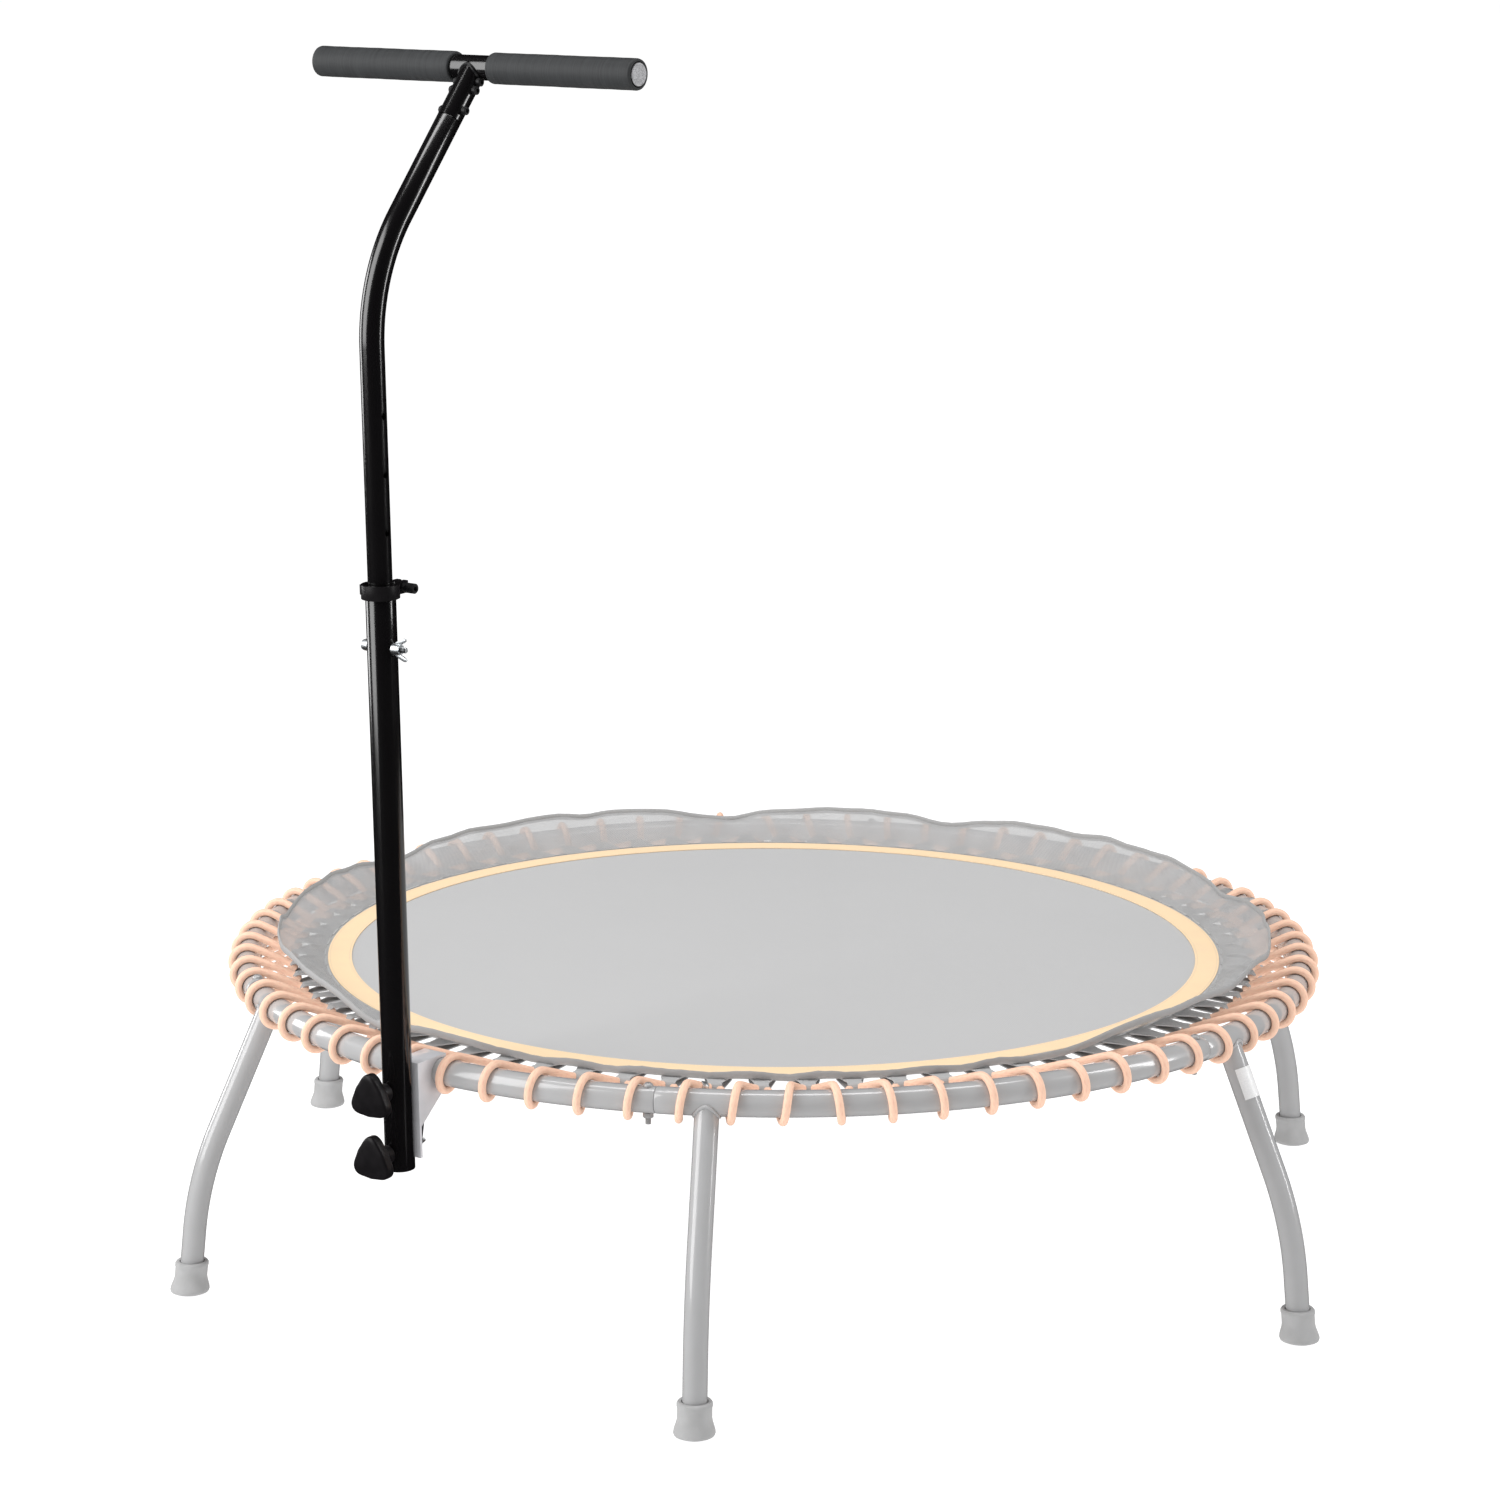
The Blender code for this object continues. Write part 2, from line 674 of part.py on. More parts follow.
def make_knob(side, frame):
    """Three-cornered hand knob, its hub towards the upright."""
    hub_back = UPRIGHT_R + 0.002
    back = KNOB_FACE - KNOB_THICKNESS
    hub = KNOB_HUB / 2
    rings = [
        knob_ring(hub, hub_back, round_part=True),
        knob_ring(hub, back, round_part=True),
        knob_ring(0.93 * KNOB_RADIUS, back),
        knob_ring(KNOB_RADIUS, back + 0.002),
        knob_ring(KNOB_RADIUS, KNOB_FACE - 0.003),
        knob_ring(0.90 * KNOB_RADIUS, KNOB_FACE - 0.001),
        knob_ring(0.45 * KNOB_RADIUS, KNOB_FACE),
    ]
    bm = bmesh.new()
    skin(bm, rings)
    place = at(0, 0, KNOB_HEIGHTS[side]) @ along_minus_y()
    return add_object(f"{side}_knob", bm, "knob_black", frame, place)


def make_stud(side, frame):
    bm = rod(STUD / 2, -STUD_END, UPRIGHT_R + 0.002 - GAP)
    place = at(0, 0, KNOB_HEIGHTS[side]) @ along_minus_y()
    return add_object(f"{side}_stud", bm, "zinc", frame, place)


def hex_ring(across, height, sides=12):
    """A hexagon drawn with twelve points, so that it joins a round bore."""
    ring = []
    for i in range(sides):
        turn = 2 * math.pi * i / sides
        r = across / 2 if i % 2 else across / 2 / math.cos(math.pi / 6)
        ring.append(Vector((r * math.cos(turn), r * math.sin(turn), height)))
    return ring


def make_nut(side, frame):
    x, y = Vector((1, 0, 0)), Vector((0, 1, 0))
    bore = STUD / 2 + GAP
    far, near = -NUT_THICKNESS, 0.0
    rings = [hex_ring(NUT_ACROSS, far), hex_ring(NUT_ACROSS, near)]
    rings += [circle(Vector((0, 0, z)), x, y, bore, 12) for z in (near, far)]
    bm = bmesh.new()
    skin(bm, rings, closed=True)
    seat = UPRIGHT_R + GAP + BRACKET_PLATE + GAP
    place = at(0, seat, KNOB_HEIGHTS[side]) @ along_minus_y()
    return add_object(f"{side}_nut", bm, "zinc", frame, place)


# ---- neck ----
def bend_path(distance):
    """(y, z, turn) along the neck's centre line above its foot, in the handle's frame."""
    start = NECK_BEND_START - NECK_FOOT
    full = math.radians(NECK_BEND)
    arc = NECK_BEND_RADIUS * full
    turn = min(max(distance - start, 0), arc) / NECK_BEND_RADIUS
    y = NECK_BEND_RADIUS * (1 - math.cos(turn))
    z = NECK_FOOT + min(distance, start) + NECK_BEND_RADIUS * math.sin(turn)
    rest = max(distance - start - arc, 0)
    return y + rest * math.sin(turn), z + rest * math.cos(turn), turn


def neck_length():
    arc = NECK_BEND_RADIUS * math.radians(NECK_BEND)
    return NECK_BEND_START - NECK_FOOT + arc + NECK_REACH


def neck_ring(distance, radius):
    y, z, turn = bend_path(distance)
    across = Vector((0, math.cos(turn), -math.sin(turn)))
    return circle(Vector((0, y, z)), Vector((1, 0, 0)), across, radius, HANDLE_SIDES)


def make_neck(frame):
    start = NECK_BEND_START - NECK_FOOT
    arc = NECK_BEND_RADIUS * math.radians(NECK_BEND)
    seam = neck_length()
    end = seam + NECK_SPIGOT
    shoulder = seam - 2 * NECK_WALL
    body = [0.0, *(start + arc * i / BEND_STEPS for i in range(BEND_STEPS + 1))]
    outer = [(s, NECK_R) for s in (*body, seam)]
    outer += [(seam, NECK_SPIGOT_R), (end, NECK_SPIGOT_R)]
    inner = [(s, NECK_SPIGOT_R - NECK_WALL) for s in (end, shoulder)]
    inner += [(s, NECK_R - NECK_WALL) for s in (shoulder, *reversed(body))]
    bm = bmesh.new()
    skin(bm, [neck_ring(s, r) for s, r in outer + inner], closed=True)
    return add_object("neck_tube", bm, "handle_black", frame)


def make_height_drill(number, frame):
    bm = rod(LOCK_BOLT / 2 + GAP, -NECK_TUBE, NECK_TUBE)
    place = at(0, 0, LOCK_BOLT_HEIGHT + HOLE_PITCH * number) @ across_tube()
    return add_object(f"height_drill_{number + HOLES_BELOW}", bm, None, frame, place)


def make_lock_drill(frame):
    bm = rod(LOCK_BOLT / 2 + GAP, -UPRIGHT_TUBE, UPRIGHT_TUBE)
    place = at(0, 0, LOCK_BOLT_HEIGHT) @ across_tube()
    return add_object("lock_drill", bm, None, frame, place)


def make_lock_bolt(frame):
    r, head = LOCK_BOLT / 2, LOCK_BOLT_HEAD / 2
    seat = -UPRIGHT_R - GAP
    head_back = seat - 0.008
    profile = [(0.85 * head, head_back - 0.0012), (head, head_back), (head, seat), (r, seat)]
    bm = lathe(profile + [(r, LOCK_BOLT_OUT)], BOLT_SIDES)
    place = at(0, 0, LOCK_BOLT_HEIGHT) @ across_tube()
    return add_object("lock_bolt", bm, "zinc", frame, place)


def make_wing_nut(frame):
    """Turned boss with two wings that reach past the bolt's end."""
    seat = UPRIGHT_R + GAP
    bore = LOCK_BOLT / 2 + GAP
    boss = [(0.0062, seat), (0.0052, seat + 0.009), (bore, seat + 0.009), (bore, seat)]
    place = at(0, 0, LOCK_BOLT_HEIGHT) @ along_x()
    nut = add_object("wing_nut", lathe(boss, 12, closed=True), "zinc", frame, place)
    for side in (1, -1):
        corners = ((0.0045, 0.001), (0.0045, 0.007), (0.0085, 0.016), (0.0118, 0.0165), (0.0118, 0.011))
        outline = [(side * across, seat + out) for across, out in corners]
        wing = bmesh.new()
        skin(wing, [[Vector((a, y, o)) for a, o in outline] for y in (-0.0011, 0.0011)])
        cutter = add_object(f"wing_{side + 1}", wing, None, frame, place)
        boolean(nut, cutter, "UNION")
    return nut


# ---- collar clamp ----
def make_collar(frame):
    """Split ring round the upright's top with two ears towards the mat."""
    inner, outer = UPRIGHT_R + GAP, UPRIGHT_R + GAP + COLLAR_WALL
    high = UPRIGHT_LENGTH + COLLAR_OVER
    low = high - COLLAR_HEIGHT
    ring = lathe([(inner, low), (outer, low), (outer, high), (inner, high)], HANDLE_SIDES, True)
    collar = add_object("collar_clamp", ring, "knob_black", frame)
    half = COLLAR_SLIT / 2 + EAR_THICKNESS
    ears = box((-half, inner + 0.001, low + 0.001), (half, outer + EAR_REACH, high - 0.001))
    boolean(collar, add_object("collar_ears", ears, None, frame), "UNION")
    lug = box((-outer - 0.003, -0.006, low + 0.002), (-inner - 0.001, 0.006, high - 0.002))
    boolean(collar, add_object("collar_lug", lug, None, frame), "UNION")
    reach = outer + 2 * EAR_REACH
    slit = box((-COLLAR_SLIT / 2, 0, low - 0.01), (COLLAR_SLIT / 2, reach, high + 0.01))
    boolean(collar, add_object("collar_slit", slit, None, frame))
    bm = rod(COLLAR_SCREW / 2 + GAP, -EAR_REACH, EAR_REACH)
    drill = add_object("collar_drill", bm, None, frame, collar_screw_place())
    boolean(collar, drill)
    return collar


def collar_screw_place():
    height = UPRIGHT_LENGTH + COLLAR_OVER - COLLAR_HEIGHT / 2
    return at(0, UPRIGHT_R + COLLAR_WALL + EAR_REACH * 0.55, height) @ along_x()


def socket_head(radius, base, length):
    """Ring profile of a cap head with a recess, from its seat outwards."""
    recess = 0.45 * radius
    return [
        (radius, base),
        (radius, base + length - 0.0008),
        (radius - 0.0008, base + length),
        (recess, base + length),
        (recess, base + 0.5 * length),
    ]


def make_collar_screw(frame):
    r, seat = COLLAR_SCREW / 2, COLLAR_SLIT / 2 + EAR_THICKNESS + GAP
    profile = [(r, -seat - 0.002), (r, seat)]
    profile += socket_head(COLLAR_HEAD / 2, seat, COLLAR_HEAD_LENGTH)
    bm = lathe(profile, 12)
    return add_object("collar_screw", bm, "black_screw", frame, collar_screw_place())


# ---- stem, crossbar and grips, in a frame on the neck's end ----
def stem_frame(frame):
    """Origin on the seam, local Z along the stem."""
    y, z, turn = bend_path(neck_length())
    return add_empty("stem_frame", frame, at(0, y, z) @ Matrix.Rotation(-turn, 4, "X"))


def make_stem_drill(number, stem):
    bm = rod(STEM_BOLT / 2 + GAP, -BAR_TUBE, BAR_TUBE)
    place = at(0, 0, STEM_BOLTS[number]) @ across_tube()
    return add_object(f"stem_drill_{number + 1}", bm, None, stem, place)


def make_stem(stem, drills):
    """Short tube over the neck's spigot, shaped to the crossbar's underside."""
    inner = BAR_R - BAR_WALL
    profile = [(BAR_R, GAP), (BAR_R, STEM_LENGTH), (inner, STEM_LENGTH), (inner, GAP)]
    bm = lathe(profile, HANDLE_SIDES, closed=True)
    tube = add_object("stem_tube", bm, "handle_black", stem)
    saddle = rod(BAR_R + GAP, -BAR_TUBE, BAR_TUBE, HANDLE_SIDES)
    place = at(0, 0, STEM_LENGTH) @ along_x()
    boolean(tube, add_object("bar_cutter", saddle, None, stem, place))
    for drill in drills:
        boolean(tube, drill)
    return tube


def make_stem_bolt(number, stem):
    """Cap screw through stem and spigot, head at +X, its nut in one piece with it."""
    r, head = STEM_BOLT / 2, STEM_BOLT_HEAD / 2
    seat = BAR_R + GAP
    profile = [(r, -seat - 0.006), (r, -seat - 0.004), (head, -seat - 0.004), (head, -seat)]
    profile += [(r, -seat), (r, seat)] + socket_head(head, seat, 0.005)
    place = at(0, 0, STEM_BOLTS[number]) @ across_tube()
    bm = lathe(profile, BOLT_SIDES)
    return add_object(f"stem_bolt_{number + 1}", bm, "black_screw", stem, place)


def bar_frame():
    return at(0, 0, STEM_LENGTH) @ along_x()


def make_crossbar(stem):
    inner = BAR_R - BAR_WALL
    profile = [(BAR_R, -BAR_HALF), (BAR_R, BAR_HALF), (inner, BAR_HALF), (inner, -BAR_HALF)]
    bm = lathe(profile, HANDLE_SIDES, closed=True)
    return add_object("crossbar_tube", bm, "handle_black", stem, bar_frame())


def make_grip(side, sign, stem):
    """Foam sleeve with rounded ends, its outer end level with the tube."""
    inner, outer = BAR_R + GAP, GRIP_TUBE / 2
    start, end = GRIP_INNER_END, BAR_HALF
    profile = [
        (outer - GRIP_ROUND / 2, start),
        (outer, start + GRIP_ROUND),
        (outer, end - GRIP_ROUND),
        (outer - GRIP_ROUND / 2, end),
        (inner, end),
        (inner, start),
    ]
    profile = [(r, sign * z) for r, z in profile]
    bm = lathe(profile, HANDLE_SIDES, closed=True)
    return add_object(f"{side}_grip", bm, "foam_grey", stem, bar_frame())


def make_plug(side, sign, stem):
    pin = BAR_R - BAR_WALL - GAP
    end = BAR_HALF + GAP
    profile = [(pin, end - PLUG_DEPTH), (pin, end), (BAR_R, end), (BAR_R - 0.0008, end + PLUG_FLANGE)]
    profile = [(r, sign * z) for r, z in profile]
    bm = lathe(profile, HANDLE_SIDES)
    return add_object(f"{side}_end_plug", bm, "plug_grey", stem, bar_frame())


# ---- assembly ----
def make_frame_ring(root):
    rail_cutter = make_rail_cutter(root)
    rails = [make_rail(index, root) for index in range(SEGMENTS)]
    for index in range(SEGMENTS):
        drill_joint(index, rails, root)
        make_frame_bolt(index, root)
        make_leg(index, root, rail_cutter)
        make_foot(index, root)
    make_label(root)
    return rail_cutter


def make_bed(root):
    make_mat(root)
    make_stripe(root)
    make_skirt(root)
    make_binding(root)
    make_cord(root)
    make_crimp(root)


def make_handle(root, rail_cutter):
    frame = handle_frame(root)
    stud_drills = [make_stud_drill(side, frame) for side in KNOB_HEIGHTS]
    make_upright(frame, [make_lock_drill(frame), *stud_drills])
    make_bracket(frame, stud_drills, rail_cutter)
    for side in KNOB_HEIGHTS:
        make_knob(side, frame)
        make_stud(side, frame)
        make_nut(side, frame)
    make_collar(frame)
    make_collar_screw(frame)
    make_lock_bolt(frame)
    make_wing_nut(frame)
    neck = make_neck(frame)
    for number in range(-HOLES_BELOW, HOLES_ABOVE + 1):
        boolean(neck, make_height_drill(number, frame))
    stem = stem_frame(frame)
    drills = [make_stem_drill(number, stem) for number in range(len(STEM_BOLTS))]
    make_stem(stem, drills)
    for drill in drills[:2]:
        boolean(neck, drill)
    for number in range(len(STEM_BOLTS)):
        make_stem_bolt(number, stem)
    make_crossbar(stem)
    for side, sign in (("right", 1), ("left", -1)):
        make_grip(side, sign, stem)
        make_plug(side, sign, stem)


def corner_points(item, graph):
    """World points of an object's finished mesh."""
    ready = item.evaluated_get(graph)
    points = [ready.matrix_world @ vertex.co for vertex in ready.to_mesh().vertices]
    ready.to_mesh_clear()
    return points


def centre_on_floor(root):
    """Move the root so that the whole object's box stands centred on the origin."""
    bpy.context.view_layer.update()
    graph = bpy.context.evaluated_depsgraph_get()
    points = []
    for item in bpy.data.objects:
        if item.type in ("MESH", "CURVE") and not item.hide_render:
            points += corner_points(item, graph)
    for axis in range(2):
        values = [point[axis] for point in points]
        root.location[axis] = -(min(values) + max(values)) / 2
    root.location.z = -min(point.z for point in points)


def main():
    clear_scene()
    root = add_empty("trampoline", None, Matrix.Identity(4))
    rail_cutter = make_frame_ring(root)
    make_bed(root)
    make_handle(root, rail_cutter)
    centre_on_floor(root)


if __name__ == "__main__":
    main()
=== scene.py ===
"""A round fitness trampoline with a T-bar handle, modelled piece by piece round its CAD frame."""

import math

import bmesh
import bpy
from mathutils import Matrix, Vector


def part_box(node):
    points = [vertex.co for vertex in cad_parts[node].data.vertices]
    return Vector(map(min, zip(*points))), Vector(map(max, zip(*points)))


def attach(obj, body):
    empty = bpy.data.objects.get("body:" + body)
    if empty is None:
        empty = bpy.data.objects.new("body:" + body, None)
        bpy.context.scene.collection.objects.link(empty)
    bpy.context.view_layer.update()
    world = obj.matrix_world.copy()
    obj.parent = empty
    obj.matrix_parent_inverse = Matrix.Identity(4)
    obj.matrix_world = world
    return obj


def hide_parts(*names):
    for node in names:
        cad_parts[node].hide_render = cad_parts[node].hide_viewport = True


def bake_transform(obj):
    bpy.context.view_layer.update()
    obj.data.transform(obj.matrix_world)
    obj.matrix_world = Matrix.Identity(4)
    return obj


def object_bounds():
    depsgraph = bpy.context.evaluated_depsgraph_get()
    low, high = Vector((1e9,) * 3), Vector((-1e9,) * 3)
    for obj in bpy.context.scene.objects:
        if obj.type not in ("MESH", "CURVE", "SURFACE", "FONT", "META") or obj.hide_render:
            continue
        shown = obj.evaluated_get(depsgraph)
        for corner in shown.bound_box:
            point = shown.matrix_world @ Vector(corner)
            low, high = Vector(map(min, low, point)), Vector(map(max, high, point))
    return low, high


bl_info = {
    "name": "Mini trampoline",
    "version": (1, 0, 0),
    "blender": (4, 5, 0),
    "location": "3D View > Sidebar > Trampoline",
    "description": "Models a fitness trampoline with an elastic-cord bed and a T-bar handle",
    "category": "Add Mesh",
}

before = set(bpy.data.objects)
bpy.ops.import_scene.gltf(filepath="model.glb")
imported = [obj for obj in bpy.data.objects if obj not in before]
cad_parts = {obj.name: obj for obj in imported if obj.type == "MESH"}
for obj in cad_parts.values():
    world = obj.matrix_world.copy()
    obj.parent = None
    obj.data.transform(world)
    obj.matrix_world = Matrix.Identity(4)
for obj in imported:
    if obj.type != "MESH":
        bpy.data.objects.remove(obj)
CAD_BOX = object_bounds()

# ---- places read from the frame ----
STRIPE_LOW, STRIPE_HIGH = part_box("ring_stripe")
RAIL_LOW, RAIL_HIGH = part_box("rail_1")
CENTRE = (STRIPE_LOW + STRIPE_HIGH) / 2
RAIL_HEIGHT = (RAIL_LOW.z + RAIL_HIGH.z) / 2
MAT_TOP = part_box("jump_mat")[1].z
FLOOR = CAD_BOX[0].z

# ---- sizes shared by several pieces, in metres and degrees ----
GAP = 0.0003
LEGS = 6
LOOPS = 72
PITCH = 360 / LOOPS
FIRST_LOOP = -2.4
TURN_TAB = -9
POST_OFFSET = 0.6483
POST_FOOT = 0.222
POST_LEAN = 1.6
POST_LENGTH = 0.613
NECK_FOOT = 0.285
NECK_BEND_START = 0.850
NECK_BEND_RADIUS = 0.190
NECK_BEND = 41.5
NECK_REACH = 0.1164
STEM_LENGTH = 0.0656
STEM_BOLTS = (0.0125, 0.0375, 0.0480)
HOLE_PITCH = 0.0585
HOLES_BELOW = 3
HOLES_ABOVE = 4
LOCK_HEIGHT = 0.5494
KNOB_HEIGHTS = {"lower": 0.020, "upper": 0.0865}
LEG_LEAN_TOP = 24.5
LEG_LEAN_FOOT = 6.0
LEG_STRAIGHT = 0.150
LEG_BEND_RADIUS = 0.360


def sized(name, default, text):
    return bpy.props.FloatProperty(name=name, description=text, default=default, unit="LENGTH", precision=4)


def colored(name, default, text):
    return bpy.props.FloatVectorProperty(
        name=name, description=text, default=default, size=3, min=0, max=1, subtype="COLOR_GAMMA"
    )


class TrampolineFrameSizes(bpy.types.PropertyGroup):
    rail_radius: sized("Ring radius", 0.600, "Ring's centre to the tube's centre line")
    rail_tube: sized("Ring tube", 0.028, "Outer diameter of the ring's tube")
    leg_tube: sized("Leg tube", 0.0254, "Outer diameter of a leg")
    foot_base: sized("Foot base", 0.043, "Diameter of a rubber foot on the floor")
    foot_height: sized("Foot height", 0.035, "Height of a rubber foot")
    seam_angle: bpy.props.FloatProperty(
        name="Seam angle", description="From a leg back to the joint of two ring tubes, in degrees", default=5.0
    )


class TrampolineBedSizes(bpy.types.PropertyGroup):
    mat_radius: sized("Mat radius", 0.521, "Edge of the woven mat")
    mat_thickness: sized("Mat thickness", 0.0015, "Thickness of the woven mat")
    tab_reach: sized("Tab reach", 0.022, "Webbing tab beyond the mat's edge")
    stripe_outer: sized("Stripe radius", 0.510, "Outer edge of the sewn ring")
    stripe_width: sized("Stripe width", 0.027, "Width of the sewn ring")
    skirt_inner: sized("Skirt seam", 0.5135, "Radius of the skirt's seam")
    skirt_outer: sized("Skirt edge", 0.566, "Radius of the skirt's free edge")
    skirt_rise: sized("Skirt rise", 0.028, "Height of the free edge over the mat")
    cord: sized("Cord", 0.0085, "Diameter of the elastic cord")


class TrampolineHandleSizes(bpy.types.PropertyGroup):
    post_tube: sized("Post tube", 0.031, "Outer diameter of the lower post")
    post_wall: sized("Post wall", 0.0025, "Wall of the lower post")
    neck_tube: sized("Neck tube", 0.025, "Outer diameter of the bent upper post")
    bar_half: sized("Half bar", 0.2075, "Half the length of the crossbar")
    grip_tube: sized("Grip", 0.0315, "Outer diameter of a foam grip")
    knob_radius: sized("Knob radius", 0.026, "Centre to corner of a hand knob")


class TrampolineLooks(bpy.types.PropertyGroup):
    strength: bpy.props.FloatProperty(
        name="Colour strength",
        description="How strong the trampoline's own colours are over white. 1 gives them in full",
        default=0.34, min=0, max=1, subtype="FACTOR",
    )
    steel: colored("Frame", (0.13, 0.13, 0.14), "Powder coat of ring and legs")
    rubber: colored("Feet", (0.03, 0.03, 0.032), "Moulded rubber")
    mat: colored("Mat", (0.345, 0.345, 0.35), "Woven mat")
    stripe: colored("Stripe", (0.99, 0.64, 0.18), "Sewn ring")
    net: colored("Net", (0.20, 0.20, 0.205), "Skirt and binding")
    cord: colored("Cord", (0.99, 0.50, 0.20), "Sleeve of the elastic cord")
    handle: colored("Handle", (0.055, 0.05, 0.055), "Gloss coat of the handle")
    foam: colored("Grips", (0.20, 0.205, 0.21), "Foam grips")


# ---- modelling by operator ----
def start():
    """Back to object mode with nothing selected."""
    if bpy.context.mode != "OBJECT":
        bpy.ops.object.mode_set(mode="OBJECT")
    bpy.ops.object.select_all(action="DESELECT")


def select(*pieces):
    start()
    for piece in pieces:
        piece.select_set(True)
    bpy.context.view_layer.objects.active = pieces[0]


def edit(piece, kind="VERT"):
    select(piece)
    bpy.ops.object.mode_set(mode="EDIT")
    bpy.ops.mesh.select_mode(type=kind)
    bpy.ops.mesh.select_all(action="SELECT")


def pick(piece, kind, test):
    """In edit mode, select the verts, edges or faces that pass a test."""
    bpy.ops.mesh.select_mode(type={"verts": "VERT", "edges": "EDGE", "faces": "FACE"}[kind])
    bpy.ops.mesh.select_all(action="DESELECT")
    mesh = bmesh.from_edit_mesh(piece.data)
    for element in getattr(mesh, kind):
        element.select_set(test(element))
    mesh.select_flush_mode()
    bmesh.update_edit_mesh(piece.data)


def named(name):
    piece = bpy.context.object
    piece.name = name
    piece.data.name = name
    return piece


def modify(piece, kind, **settings):
    """Add a modifier, set it and apply it."""
    select(piece)
    bpy.ops.object.modifier_add(type=kind)
    modifier = piece.modifiers[-1]
    for name, value in settings.items():
        setattr(modifier, name, value)
    bpy.ops.object.modifier_apply(modifier=modifier.name)
    return piece


def round_edges(piece, width, segments=2, angle=35):
    return modify(
        piece, "BEVEL", width=width, segments=segments, limit_method="ANGLE",
        angle_limit=math.radians(angle), use_clamp_overlap=True,
    )


def cut(piece, *cutters, operation="DIFFERENCE"):
    """Take the cutters' shapes out of the piece, or join them to it."""
    for cutter in cutters:
        modify(piece, "BOOLEAN", operation=operation, solver="EXACT", object=cutter)
        bpy.data.objects.remove(cutter)
    return piece


def merge(*pieces):
    select(*pieces)
    bpy.ops.object.join()
    return pieces[0]


def settle(piece, place=None, smooth=35):
    """Put the piece in its place, with its own origin at the world's."""
    select(piece)
    if place is not None:
        piece.matrix_world = place @ piece.matrix_world
    bpy.ops.object.transform_apply(location=True, rotation=True, scale=True)
    bpy.ops.object.shade_smooth_by_angle(angle=math.radians(smooth))
    return piece


def copied(piece, name, place):
    """A copy with its own mesh, moved by place."""
    select(piece)
    bpy.ops.object.duplicate(linked=False)
    copy = named(name)
    copy.matrix_world = place @ copy.matrix_world
    bpy.ops.object.transform_apply(location=True, rotation=True, scale=True)
    return copy


def close_up():
    """In edit mode, merge what coincides and turn the faces outwards."""
    bpy.ops.mesh.select_all(action="SELECT")
    bpy.ops.mesh.remove_doubles(threshold=1e-6)
    bpy.ops.mesh.normals_make_consistent(inside=False)
    bpy.ops.object.mode_set(mode="OBJECT")


def draw(name, points):
    """A chain of edges, extruded from point to point."""
    start()
    points = [Vector(point) for point in points]
    bpy.ops.mesh.primitive_plane_add(size=0.01)
    piece = named(name)
    edit(piece)
    bpy.ops.mesh.merge(type="CENTER")
    bpy.ops.transform.translate(value=points[0])
    for before, after in zip(points, points[1:]):
        bpy.ops.mesh.extrude_region_move(TRANSFORM_OT_translate={"value": after - before})
    return piece


def turned(name, profile, steps=48):
    """Spin an outline of (radius, height) points round Z."""
    piece = draw(name, [(radius, 0, height) for radius, height in profile])
    bpy.ops.mesh.select_all(action="SELECT")
    bpy.ops.mesh.spin(steps=steps, angle=2 * math.pi, center=(0, 0, 0), axis=(0, 0, 1))
    close_up()
    return piece


def ring_profile(inner, outer, low, high):
    """A closed outline round a turned ring's section."""
    return [(outer, low), (outer, high), (inner, high), (inner, low), (outer, low)]


def block(name, low, high):
    start()
    low, high = Vector(low), Vector(high)
    bpy.ops.mesh.primitive_cube_add(size=1, location=(low + high) / 2, scale=high - low)
    return named(name)


def rod(name, radius, low, high, sides=32):
    start()
    middle = Vector((0, 0, (low + high) / 2))
    bpy.ops.mesh.primitive_cylinder_add(vertices=sides, radius=radius, depth=high - low, location=middle)
    return named(name)


def plate(name, outline, low, high):
    """A flat outline in the YZ plane, filled and extruded along X."""
    piece = draw(name, [(low, y, z) for y, z in outline])
    bpy.ops.mesh.select_all(action="SELECT")
    bpy.ops.mesh.edge_face_add()
    bpy.ops.mesh.extrude_region_move(TRANSFORM_OT_translate={"value": (high - low, 0, 0)})
    close_up()
    return piece


def sweep(steps, angle, centre, axis):
    """In edit mode, spin the selection by degrees. Without a window the tool turns the other way."""
    bpy.ops.mesh.spin(steps=steps, angle=-math.radians(angle), center=centre, axis=axis)


def line(name, points, radius, closed=False, sides=12, steps=3):
    """A round strand along points, as a mesh."""
    start()
    bpy.ops.curve.primitive_nurbs_path_add()
    piece = named(name)
    curve = piece.data
    curve.splines.clear()
    spline = curve.splines.new("NURBS")
    spline.points.add(len(points) - 1)
    for slot, point in zip(spline.points, points):
        slot.co = (*point, 1)
    spline.order_u = 4
    spline.use_cyclic_u = closed
    spline.use_endpoint_u = not closed
    spline.resolution_u = steps
    curve.bevel_depth = radius
    curve.bevel_resolution = (sides - 4) // 2
    curve.use_fill_caps = not closed
    curve.twist_mode = "MINIMUM"
    bpy.ops.object.convert(target="MESH")
    piece = bpy.context.object
    edit(piece)
    close_up()
    return piece


def radial(angle, radius=1.0, height=0.0):
    turn = math.radians(angle)
    return Vector((radius * math.cos(turn), radius * math.sin(turn), height))


def turn_z(angle):
    return Matrix.Rotation(math.radians(angle), 4, "Z")


def shift(x=0.0, y=0.0, z=0.0):
    return Matrix.Translation((x, y, z))


RING = shift(CENTRE.x, CENTRE.y, FLOOR)
POST = RING @ shift(0, -POST_OFFSET, POST_FOOT) @ Matrix.Rotation(math.radians(POST_LEAN), 4, "X")
ALONG_X = Matrix.Rotation(math.pi / 2, 4, "Y")
ALONG_MINUS_Y = Matrix.Rotation(math.pi / 2, 4, "X")


